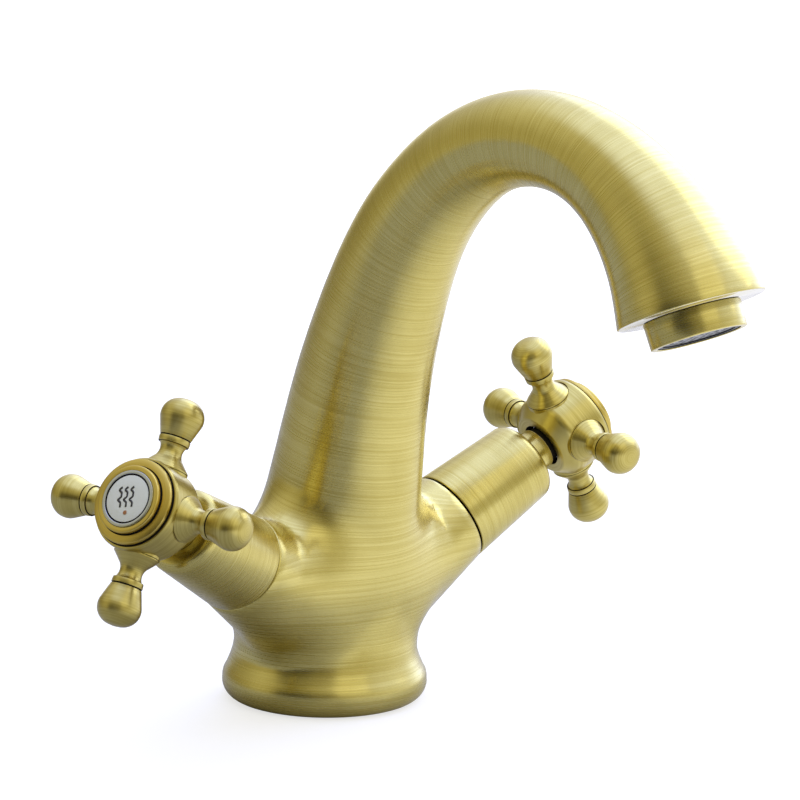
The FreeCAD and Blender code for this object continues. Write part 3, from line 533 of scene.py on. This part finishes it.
def finished(bm, name, place, materials, dark=(), facing=1.0, crease=32.0):
    """Make a turned shape a mesh, paint shade into its seams, comb it and move it to its place.

    A span of painted shade is (least radius, most radius, least height, most height), in
    millimetres.
    """
    mesh = bpy.data.meshes.new(name)
    bm.to_mesh(mesh)
    bm.free()
    for material in materials:
        mesh.materials.append(material)
    for face in mesh.polygons:
        radius = math.hypot(face.center.x, face.center.y) / MM
        height = face.center.z / MM
        # Faces in these spans take the painted shade.
        for inner, outer, low, high in dark:
            if inner <= radius <= outer and low <= height <= high:
                face.material_index = 1
    comb(mesh, lambda point: point.copy(), facing)
    mesh.transform(place)
    smooth(mesh, crease)
    return mesh


SHROUD_BRASS = brushed_brass("Shroud brass, lathe brushed", 24.0, 2400.0, 0.27, 0.75)

SHROUD = (
    (11.45, 45.4, 0),
    (12.8, 45.4, 0.3),
    (11.0, 73.5, 2.8),
    (5.75, 73.5, 0.25),
    (5.75, 70.3, 0),
    (9.3, 70.3, 0),
    (9.3, 52.0, 0),
    (11.45, 52.0, 0),
)
# Painted shade: the back face at the seam and the bore where the collar comes out.
SHROUD_PAINTED_SHADE = ((0.0, 12.55, 45.3, 45.45), (0.0, 5.9, 70.0, 73.3))

for side, arm in arms.items():
    name = side + "_sleeve"
    mesh = finished(lathe(SHROUD, 128), name, arm, (SHROUD_BRASS, PAINTED_SHADE_BRASS), SHROUD_PAINTED_SHADE)
    new_piece(name, mesh, "body", "body_brass", side + "_shroud")


# ---------------------------------------------------------------- valve collars
# The valve's turned collar shows between the shroud and the hub. Its nose is stepped down and
# painted dark as shade, so the hub seems to float off it.

COLLAR = (
    (5.4, 71.0, 0),
    (5.72, 71.0, 0),
    (5.72, 78.32, 0.25),
    (4.93, 78.32, 0),
    (4.93, 81.05, 0),
    (4.6, 81.05, 0),
    (4.6, 77.8, 0),
    (5.4, 77.8, 0),
)
# Painted shade on the stepped-down nose.
COLLAR_PAINTED_SHADE = ((0.0, 5.0, 78.3, 81.1),)

for side, arm in arms.items():
    name = side + "_collar"
    mesh = finished(lathe(COLLAR, 96), name, arm, (SHROUD_BRASS, PAINTED_SHADE_BRASS), COLLAR_PAINTED_SHADE)
    new_piece(name, mesh, "body", "valve_brass")


# ---------------------------------------------------------------- handle hubs
# Each hub is turned from brass bar, drilled through for the spindle and spot-faced in four places
# for the spokes. The recess round the spindle collar is painted dark as shade.

HUB_TURNS = {"hot": -1.5, "cold": 5.0}
HUB_STATION = 86.8
HUB = (
    (6.15, 79.5, 0.15),
    (8.6, 79.5, 0.4),
    (12.0, 83.1, 3.0),
    (12.0, 93.3, 0.8),
    (11.7, 94.1, 0.2),
    (11.35, 94.1, 0),
    (8.2, 94.1, 0),
    (8.2, 89.0, 0),
    (3.75, 89.0, 0),
    (3.75, 82.6, 0),
    (6.15, 82.6, 0),
)
# Painted shade: the recess round the collar, and a thin ring of the front face under the cap.
HUB_PAINTED_SHADE = ((0.0, 6.17, 79.7, 82.65), (0.0, 11.0, 94.05, 94.15))
SPOKE_SEAT = 11.3
SPOT_FACE = 5.97
SEAT_LINE = 0.16
BOSS_RADIUS = 5.85
BOSS = (
    (0.0, 9.1, 0),
    (BOSS_RADIUS, 9.1, 0),
    (BOSS_RADIUS, SPOKE_SEAT - SEAT_LINE, 0),
    (5.7, SPOKE_SEAT - SEAT_LINE, 0),
    (5.7, SPOKE_SEAT + 0.5, 0),
    (0.0, SPOKE_SEAT + 0.5, 0),
)
CUTTER = (
    (0.0, SPOKE_SEAT, 0),
    (SPOT_FACE, SPOKE_SEAT, 0),
    (SPOT_FACE, SPOKE_SEAT + SEAT_LINE, 0),
    (SPOT_FACE, 15.0, 0),
    (0.0, 15.0, 0),
)


def handle_place(side):
    """The frame of a handle: the arm's frame, turned to how the cross stands at rest."""
    return arms[side] @ Matrix.Rotation(math.radians(HUB_TURNS[side]), 4, "Z")


def spoke_place(number):
    """From a hub's frame to one spoke's: Z runs outwards from the hub's axis."""
    quarter = math.radians(90)
    middle = Matrix.Translation((0, 0, HUB_STATION * MM))
    outwards = middle @ Matrix.Rotation(quarter, 4, "Y")
    return Matrix.Rotation(quarter * number, 4, "Z") @ outwards


def worked_on(bm, steps):
    """Join shapes to a closed shape, or cut them out of it, in turn."""
    collection = bpy.context.scene.collection.objects
    base_mesh = bpy.data.meshes.new("base")
    bm.to_mesh(base_mesh)
    bm.free()
    base = bpy.data.objects.new("base", base_mesh)
    collection.link(base)
    helpers = []
    for other, operation in steps:
        mesh = bpy.data.meshes.new("helper")
        other.to_mesh(mesh)
        other.free()
        helper = bpy.data.objects.new("helper", mesh)
        collection.link(helper)
        helpers.append(helper)
        joint = base.modifiers.new("joint", "BOOLEAN")
        joint.operation = operation
        joint.solver = "EXACT"
        joint.object = helper
    evaluated = base.evaluated_get(bpy.context.evaluated_depsgraph_get())
    result = bmesh.new()
    result.from_mesh(evaluated.to_mesh())
    for thing in [base] + helpers:
        bpy.data.objects.remove(thing)
    return result


def round_the_hub(outline):
    """One copy of a turned shape for each spoke, in the hub's frame."""
    copies = []
    for number in range(4):
        copy = lathe(outline, 64, closed=False)
        bmesh.ops.transform(copy, matrix=spoke_place(number), verts=copy.verts)
        copies.append(copy)
    return copies


HANDLE_TINT = (0.88, 0.86, 0.76)
HANDLE_BRASS = brushed_brass("Handle brass, lathe brushed", 60.0, 2600.0, 0.33, 0.95, HANDLE_TINT)

for side in arms:
    steps = [(boss, "UNION") for boss in round_the_hub(BOSS)]
    steps += [(cutter, "DIFFERENCE") for cutter in round_the_hub(CUTTER)]
    hub = worked_on(lathe(HUB, 128), steps)
    name = side + "_boss"
    mesh = finished(hub, name, Matrix(), (HANDLE_BRASS, PAINTED_SHADE_BRASS), HUB_PAINTED_SHADE)
    to_spokes = [spoke_place(number).inverted() for number in range(4)]
    for face in mesh.polygons:
        for to_spoke in to_spokes:
            spot = to_spoke @ face.center / MM
            # Painted shade: the fine seat line round each spoke's foot.
            in_line = -SEAT_LINE - 0.01 < spot.z - SPOKE_SEAT < 0.01
            if in_line and math.hypot(spot.x, spot.y) < BOSS_RADIUS + 0.05:
                face.material_index = 1
    mesh.transform(handle_place(side))
    new_piece(name, mesh, side + "_handle", "handle_brass", side + "_hub")


# ---------------------------------------------------------------- spokes
# Four brass spokes screw into each hub. Each is turned in one piece: a trumpet foot, a waist, a
# bead, a fine groove painted dark as shade, and a bulb with a domed end.

SPOKE = (
    (0.0, 7.7, 0),
    (1.9, 7.7, 0),
    (1.9, 11.3, 0),
    (5.85, 11.3, 0.06),
    (5.85, 11.6, 0.12),
    (2.15, 15.7, 4.4),
    (3.45, 17.8, 0.2),
    (3.95, 17.95, 0.15),
    (4.05, 19.35, 0.12),
    (3.7, 19.38, 0),
    (3.7, 19.68, 0),
    (4.0, 19.7, 0.1),
    (6.1, 26.0, 4.0),
    (3.6, 29.3, 4.0),
    (0.0, 29.9, 0),
)
# Painted shade: the groove under the bulb and the step under the bead.
SPOKE_PAINTED_SHADE = ((3.5, 3.98, 19.36, 19.69), (3.5, 3.75, 17.8, 17.9))

for side in arms:
    for number in range(4):
        name = f"{side}_arm_{number + 1}"
        place = handle_place(side) @ spoke_place(number)
        spoke = lathe(SPOKE, 72, closed=False)
        mesh = finished(spoke, name, place, (HANDLE_BRASS, PAINTED_SHADE_BRASS), SPOKE_PAINTED_SHADE, crease=40.0)
        new_piece(name, mesh, side + "_handle", "handle_brass", f"{side}_spoke_{number + 1}")


# ---------------------------------------------------------------- index caps
# A stepped brass cap is pushed into the front of each hub. It holds a bright chrome ring and a
# white glazed button, inlaid with a plain sign: rising heat or running water, and a coloured dot.

BEZEL = (
    (0.0, 94.6, 0),
    (6.75, 94.6, 0),
    (6.75, 92.6, 0),
    (8.15, 92.6, 0),
    (8.15, 94.6, 0),
    (11.05, 94.6, 0.12),
    (11.05, 95.6, 0.25),
    (9.05, 96.03, 0.04),
    (9.05, 95.8, 0),
    (8.6, 95.8, 0),
    (8.6, 96.45, 0),
    (8.75, 96.5, 0.04),
    (8.75, 97.6, 0.35),
    (7.4, 97.6, 0.12),
    (7.4, 96.1, 0),
    (0.0, 96.1, 0),
)
# Painted shade: the bezel's spigot and underside, the wall under its collar's lip and its pocket
# wall.
BEZEL_PAINTED_SHADE = ((0.0, 10.8, 92.0, 94.62), (8.5, 9.07, 95.7, 96.49), (7.35, 7.45, 96.0, 97.4))
INDEX_RING = ((6.3, 96.1, 0), (7.35, 96.1, 0), (7.35, 97.9, 0.2), (6.5, 97.9, 0.1), (6.3, 97.4, 0))
# Painted shade on the ring's inner wall.
RING_PAINTED_SHADE = ((6.25, 6.45, 96.0, 97.7),)
BUTTON = (
    (0.0, 96.1, 0),
    (6.25, 96.1, 0),
    (6.25, 97.4, 0),
    (6.0, 97.78, 0.15),
    (3.7, 97.97, 2.0),
    (0.0, 98.05, 0),
)
# Painted shade on the button's side wall.
BUTTON_PAINTED_SHADE = ((6.02, 6.3, 96.0, 97.6),)


def bright_chrome(name):
    """Polished plating with a breath of wiping marks."""
    material, tree, shader = new_material(name)
    body = wired(tree, "TexCoord").outputs["Object"]
    wiping = noise(tree, body, (700.0, 700.0, 2500.0), 3.0)
    colour = blended(tree, "MIX", wiping, (0.46, 0.48, 0.47, 1), (0.64, 0.66, 0.64, 1))
    tree.links.new(colour, shader.inputs["Base Color"])
    shader.inputs["Metallic"].default_value = 1.0
    tree.links.new(ranged(tree, wiping, 0.14, 0.26), shader.inputs["Roughness"])
    return material


def white_glaze(name):
    """White glazed ceramic, faintly uneven."""
    material, tree, shader = new_material(name)
    body = wired(tree, "TexCoord").outputs["Object"]
    cloud = noise(tree, body, (260.0, 260.0, 260.0), 3.0)
    colour = blended(tree, "MIX", cloud, (0.80, 0.83, 0.69, 1), (0.89, 0.91, 0.77, 1))
    tree.links.new(colour, shader.inputs["Base Color"])
    tree.links.new(ranged(tree, cloud, 0.14, 0.26), shader.inputs["Roughness"])
    bump = wired(tree, "Bump", Strength=0.15, Distance=0.00005, Height=cloud)
    tree.links.new(bump.outputs[0], shader.inputs["Normal"])
    shader.inputs["Coat Weight"].default_value = 0.4
    shader.inputs["Coat Roughness"].default_value = 0.08
    return material


def sign_paint(name, dark, light):
    """Fired enamel, a little uneven."""
    material, tree, shader = new_material(name)
    body = wired(tree, "TexCoord").outputs["Object"]
    cloud = noise(tree, body, (1400.0, 1400.0, 1400.0), 3.0)
    colour = blended(tree, "MIX", cloud, (*dark, 1), (*light, 1))
    tree.links.new(colour, shader.inputs["Base Color"])
    tree.links.new(ranged(tree, cloud, 0.3, 0.5), shader.inputs["Roughness"])
    return material


SIGN_DEPTH = 0.35
SIGN_HEIGHT = 98.03


def inlaid(strokes, thickness):
    """A mesh of strokes laid flat in the button; each is a row of (x, y) in millimetres."""
    curve = bpy.data.curves.new("strokes", "CURVE")
    curve.dimensions = "3D"
    curve.bevel_depth = thickness * MM
    curve.bevel_resolution = 2
    curve.use_fill_caps = True
    for stroke in strokes:
        spline = curve.splines.new("NURBS")
        spline.points.add(len(stroke) - 1)
        for point, (x, y) in zip(spline.points, stroke):
            point.co = (x * MM, y * MM, 0, 1)
        spline.order_u = 3
        spline.use_endpoint_u = True
    drawn = bpy.data.objects.new("strokes", curve)
    mesh = bpy.data.meshes.new_from_object(drawn)
    bpy.data.objects.remove(drawn)
    mesh.transform(Matrix.Diagonal((1, 1, SIGN_DEPTH, 1)))
    return mesh


def wave(middle, start, length, swing, bends):
    """Points of one wavy stroke along X, in millimetres."""
    steps = 2 * bends
    crests = [2 * swing if step % 4 == 3 else 0 for step in range(steps + 1)]
    return [(start + length * step / steps, middle + up) for step, up in enumerate(crests)]


BEZEL_TINT = (0.98, 0.88, 0.62)
BEZEL_BRASS = brushed_brass("Bezel brass, lathe brushed", 60.0, 2600.0, 0.32, 0.8, BEZEL_TINT)
INDEX_CHROME = bright_chrome("Index ring chrome")
INDEX_WHITE = white_glaze("Index button glaze")
SIGN_BLACK = sign_paint("Sign enamel, black", (0.02, 0.02, 0.018), (0.06, 0.055, 0.05))
DOTS = {
    "hot": sign_paint("Dot enamel, orange brown", (0.33, 0.12, 0.03), (0.5, 0.22, 0.07)),
    "cold": sign_paint("Dot enamel, blue", (0.03, 0.10, 0.33), (0.06, 0.18, 0.5)),
}
SIGNS = {
    "hot": [wave(middle, -2.3, 5.2, 0.55, 4) for middle in (-1.7, 0.0, 1.7)],
    "cold": [[(y, x) for x, y in wave(middle, -2.9, 5.8, 0.5, 4)] for middle in (-0.6, 1.0, 2.6)],
}
DOT_PLACE = (-3.7, 0.0)
DOT_RADIUS = 0.55
SIGN_STROKE = 0.28
SIGN_TURNS = {"hot": 12.0, "cold": 0.0}
CAP_PARTS = (
    ("_cap", BEZEL, False, BEZEL_BRASS, BEZEL_PAINTED_SHADE, "handle_brass", "_index_bezel"),
    ("_cap_ring", INDEX_RING, True, INDEX_CHROME, RING_PAINTED_SHADE, "chrome_ring", "_index_ring"),
    ("_cap_button", BUTTON, False, INDEX_WHITE, BUTTON_PAINTED_SHADE, "index_white", "_index_button"),
)

for side in arms:
    rides_on = side + "_handle"
    place = handle_place(side)
    for ending, outline, closed, material, dark, slot, node in CAP_PARTS:
        name = side + ending
        mesh = finished(lathe(outline, 96, closed), name, place, (material, PAINTED_SHADE_BRASS), dark)
        new_piece(name, mesh, rides_on, slot, side + node)
    sign_place = place @ Matrix.Translation((0, 0, SIGN_HEIGHT * MM))
    sign_place = sign_place @ Matrix.Rotation(math.radians(SIGN_TURNS[side]), 4, "Z")
    mesh = inlaid(SIGNS[side], SIGN_STROKE)
    mesh.transform(sign_place)
    mesh.materials.append(SIGN_BLACK)
    new_piece(side + "_cap_sign", mesh, rides_on, "black_plastic")
    bm = bmesh.new()
    bmesh.ops.create_uvsphere(bm, u_segments=24, v_segments=12, radius=DOT_RADIUS * MM)
    bmesh.ops.scale(bm, vec=(1, 1, SIGN_DEPTH * 0.4), verts=bm.verts)
    bmesh.ops.translate(bm, vec=Vector((*DOT_PLACE, 0)) * MM, verts=bm.verts)
    mesh = bpy.data.meshes.new(side + "_cap_dot")
    bm.to_mesh(mesh)
    bm.free()
    mesh.transform(sign_place)
    mesh.materials.append(DOTS[side])
    mesh.shade_smooth()
    new_piece(side + "_cap_dot", mesh, rides_on, "index_white")


# ---------------------------------------------------------------- aerator
# A short brass shell screws over the spout's end. In its mouth sit a black plastic insert and a
# pierced steel screen.

SHELL = (
    (10.95, 0.2, 0),
    (12.2, 0.2, 0.15),
    (12.0, 6.9, 0.3),
    (10.4, 6.9, 0.15),
    (10.4, 6.3, 0),
    (10.95, 6.3, 0),
)
# Painted shade: the back face against the spout and the inner lip.
SHELL_PAINTED_SHADE = ((0.0, 12.1, 0.1, 0.3), (0.0, 10.5, 6.2, 6.7))

materials = (SHROUD_BRASS, PAINTED_SHADE_BRASS)
mesh = finished(lathe(SHELL, 128), "outlet_shell", rim_place, materials, SHELL_PAINTED_SHADE)
new_piece("outlet_shell", mesh, "body", "body_brass", "aerator_shell")


# ---------------------------------------------------------------- plain inner pieces
# The valve parts hide inside the arms and hubs. They keep their own solids, in machined brass,
# lapped ceramic, rubber, moulded plastic and stainless steel.


def plain_finish(name, dark, light, metallic, rough_low, rough_high):
    """A finish with an uneven colour and gloss."""
    material, tree, shader = new_material(name)
    body = wired(tree, "TexCoord").outputs["Object"]
    cloud = noise(tree, body, FINE, 3.0)
    colour = blended(tree, "MIX", cloud, (*dark, 1), (*light, 1))
    tree.links.new(colour, shader.inputs["Base Color"])
    shader.inputs["Metallic"].default_value = metallic
    tree.links.new(ranged(tree, cloud, rough_low, rough_high), shader.inputs["Roughness"])
    bump = wired(tree, "Bump", Strength=0.2, Distance=0.00003, Height=cloud)
    tree.links.new(bump.outputs[0], shader.inputs["Normal"])
    return material


FINE = (1500.0, 1500.0, 1500.0)
FINISHES = {
    "valve_brass": ("Valve brass", (0.42, 0.32, 0.10), (0.66, 0.54, 0.2), 1, 0.3, 0.45),
    "disc_ceramic": ("Disc ceramic", (0.7, 0.68, 0.6), (0.82, 0.8, 0.73), 0, 0.1, 0.2),
    "rubber": ("Black rubber", (0.012, 0.012, 0.012), (0.03, 0.03, 0.03), 0, 0.5, 0.7),
    "black_plastic": ("Black plastic", (0.015, 0.015, 0.016), (0.03, 0.03, 0.03), 0, 0.35, 0.5),
    "screen_steel": ("Screen steel", (0.13, 0.13, 0.12), (0.36, 0.36, 0.34), 1, 0.3, 0.45),
    "spring_steel": ("Bright steel", (0.4, 0.4, 0.4), (0.6, 0.6, 0.6), 1, 0.25, 0.4),
}
plain_materials = {slot: plain_finish(*looks) for slot, looks in FINISHES.items()}
for entry in frame["record"]["subparts"]:
    node = frame["nodes"][entry["node"]]
    if entry["material_slot"] in plain_materials:
        node.data.materials.clear()
        node.data.materials.append(plain_materials[entry["material_slot"]])


# ---------------------------------------------------------------- studio
# A pale floor and a white backdrop with soft lamps, and a long lens where the photographer stood.

CAMERA_AZIMUTH = math.radians(-45.94)
CAMERA_ELEVATION = math.radians(11.53)
CAMERA_ROLL = math.radians(0.9)
CAMERA_DISTANCE = 1167.2 * MM
CAMERA_AIM = Vector((0, -30.0, 80.0)) * MM
FOCAL_PIXELS = 4559.5
PICTURE_PIXELS = 800
PICTURE_MIDDLE = (410.3, 415.0)
SENSOR = 36.0

right = Vector((math.cos(CAMERA_AZIMUTH), math.sin(CAMERA_AZIMUTH), 0))
back = Vector(
    (
        math.sin(CAMERA_AZIMUTH) * math.cos(CAMERA_ELEVATION),
        -math.cos(CAMERA_AZIMUTH) * math.cos(CAMERA_ELEVATION),
        math.sin(CAMERA_ELEVATION),
    )
)
up = back.cross(right)
rolled_right = right * math.cos(CAMERA_ROLL) + up * math.sin(CAMERA_ROLL)
rolled_up = up * math.cos(CAMERA_ROLL) - right * math.sin(CAMERA_ROLL)

camera_data = bpy.data.cameras.new("camera")
camera_data.sensor_width = SENSOR
camera_data.lens = FOCAL_PIXELS * SENSOR / PICTURE_PIXELS
camera_data.shift_x = (PICTURE_PIXELS / 2 - PICTURE_MIDDLE[0]) / PICTURE_PIXELS
camera_data.shift_y = (PICTURE_MIDDLE[1] - PICTURE_PIXELS / 2) / PICTURE_PIXELS
camera_data.clip_start = 0.05
camera_data.clip_end = 20.0
camera = bpy.data.objects.new("camera", camera_data)
bpy.context.scene.collection.objects.link(camera)
camera_turn = Matrix((rolled_right, rolled_up, back)).transposed().to_4x4()
camera.matrix_world = Matrix.Translation(CAMERA_AIM + back * CAMERA_DISTANCE) @ camera_turn
bpy.context.scene.camera = camera


def lamp(name, rightwards, towards, upwards, width, height, power):
    """A soft box placed from the camera's point of view, aimed at the middle of the tap."""
    data = bpy.data.lights.new(name, "AREA")
    data.shape = "RECTANGLE"
    data.size = width
    data.size_y = height
    data.energy = power
    box = bpy.data.objects.new(name, data)
    bpy.context.scene.collection.objects.link(box)
    level = Vector((back.x, back.y, 0)).normalized()
    place = CAMERA_AIM + right * rightwards + level * towards + Vector((0, 0, upwards))
    box.location = place
    box.rotation_euler = (CAMERA_AIM - place).to_track_quat("-Z", "Y").to_euler()
    box.visible_camera = False


lamp("key_softbox", 1.1, -0.75, 1.1, 1.3, 1.3, 4.0)
lamp("front_softbox", 0.9, 1.3, 1.3, 1.4, 1.4, 2.5)

world = bpy.data.worlds.new("studio")
bpy.context.scene.world = world
world.use_nodes = True
tree = world.node_tree
tree.nodes.clear()

# How bright the studio's walls are round the tap: 0 and 1 behind it, 0.25 left, 0.5 at the camera.
WALL_LEVEL = (
    (0.00, 1.00),
    (0.05, 0.52),
    (0.12, 0.28),
    (0.20, 0.36),
    (0.28, 0.54),
    (0.325, 0.44),
    (0.35, 0.08),
    (0.38, 0.01),
    (0.44, 0.02),
    (0.485, 0.14),
    (0.53, 0.17),
    (0.56, 0.50),
    (0.65, 0.56),
    (0.74, 0.74),
    (0.82, 0.95),
    (0.88, 1.65),
    (0.94, 1.80),
    (1.00, 1.30),
)
WALL_HIGH = (
    (0.00, 1.15),
    (0.08, 0.88),
    (0.17, 0.74),
    (0.25, 0.68),
    (0.31, 0.58),
    (0.36, 0.50),
    (0.42, 0.50),
    (0.48, 0.56),
    (0.52, 0.60),
    (0.56, 0.62),
    (0.64, 0.72),
    (0.70, 0.98),
    (0.77, 1.20),
    (0.84, 1.70),
    (0.92, 1.95),
    (1.00, 1.60),
)
CEILING = 1.16


def toned(tone):
    """Studio walls are warm where they are dim and cool where the daylight falls on them."""
    green = 0.84 + 0.18 * tone + 0.05 * tone**3
    blue = min(2.0, 0.32 + 0.42 * tone + 0.88 * tone**3)
    return (tone, tone * min(1.15, green), tone * blue, 1.0)


def wall(tree, place, tones):
    """The colours of one belt of wall, read round the tap."""
    round_tap = wired(tree, "TexGradient", {"gradient_type": "RADIAL"}, Vector=place)
    node = wired(tree, "ValToRGB", Fac=round_tap.outputs["Fac"])
    ramp = node.color_ramp
    while len(ramp.elements) < len(tones):
        ramp.elements.new(0.5)
    for element, (turn, _) in zip(ramp.elements, tones):
        element.position = turn
    for element, (_, tone) in zip(ramp.elements, tones):
        element.color = toned(tone)
    return node.outputs["Color"]


direction = wired(tree, "TexCoord").outputs["Generated"]
facing_camera = -math.atan2(back.y, back.x)
turned_round = wired(tree, "Mapping", Vector=direction, Rotation=(0, 0, facing_camera)).outputs[0]
height = wired(tree, "SeparateXYZ", Vector=direction).outputs["Z"]
to_high = ranged(tree, height, 0.0, 1.0, 0.18, 0.74, "SMOOTHSTEP")
to_ceiling = ranged(tree, height, 0.0, 1.0, 0.76, 1.0, "SMOOTHSTEP")
level, high = (wall(tree, turned_round, tones) for tones in (WALL_LEVEL, WALL_HIGH))
tone = blended(tree, "MIX", to_high, level, high)
tone = blended(tree, "MIX", to_ceiling, tone, toned(CEILING))
rays = wired(tree, "LightPath").outputs
mirrored = worked(tree, "MAXIMUM", rays["Is Glossy Ray"], rays["Is Transmission Ray"])
away = wired(tree, "SeparateXYZ", Vector=turned_round).outputs["X"]
backdrop = ranged(tree, away, 0.0, 1.0, -0.90, -0.99, "SMOOTHSTEP")
reflected = worked(tree, "MULTIPLY", mirrored, backdrop)
shown = worked(tree, "MAXIMUM", rays["Is Camera Ray"], reflected)
tone = blended(tree, "MIX", shown, tone, (1, 1, 1, 1))
sky = wired(tree, "Background", Color=tone, Strength=1.0)
tree.links.new(sky.outputs[0], wired(tree, "OutputWorld").inputs["Surface"])

FLOOR_HALF = 2.0
floor_mesh = bpy.data.meshes.new("floor")
bm = bmesh.new()
bmesh.ops.create_grid(bm, x_segments=1, y_segments=1, size=FLOOR_HALF)
bm.to_mesh(floor_mesh)
bm.free()
floor = bpy.data.objects.new("floor", floor_mesh)
bpy.context.scene.collection.objects.link(floor)
material, tree, shader = new_material("Pale floor")
place = wired(tree, "TexCoord").outputs["Object"]
distance = wired(tree, "VectorMath", {"operation": "LENGTH"}, _0=place).outputs["Value"]
paper = noise(tree, place, (300.0, 300.0, 300.0), 4.0)
colour = blended(tree, "MIX", paper, (0.36, 0.355, 0.33, 1), (0.40, 0.395, 0.37, 1))
tree.links.new(colour, shader.inputs["Base Color"])
shader.inputs["Roughness"].default_value = 0.9
shader.inputs["Emission Color"].default_value = (1, 1, 1, 1)
rays = wired(tree, "LightPath").outputs
mirrored = worked(tree, "MAXIMUM", rays["Is Glossy Ray"], rays["Is Transmission Ray"])
# Painted light: seen only in reflections, the floor glows brighter towards the right, as a pool of
# daylight.
rightwards = wired(tree, "VectorMath", {"operation": "DOT_PRODUCT"}, _0=place, _1=right)
daylight = ranged(tree, rightwards.outputs["Value"], 0.0, 0.58, -0.03, 0.16, "SMOOTHSTEP")
near_glow = ranged(tree, distance, 0.70, 1.0, 0.2, 0.9)
glow = worked(tree, "MULTIPLY", near_glow, rays["Is Camera Ray"])
glow = worked(tree, "MULTIPLY_ADD", daylight, mirrored, glow)
tree.links.new(glow, shader.inputs["Emission Strength"])
floor_mesh.materials.append(material)

bpy.context.scene.view_settings.view_transform = "Standard"
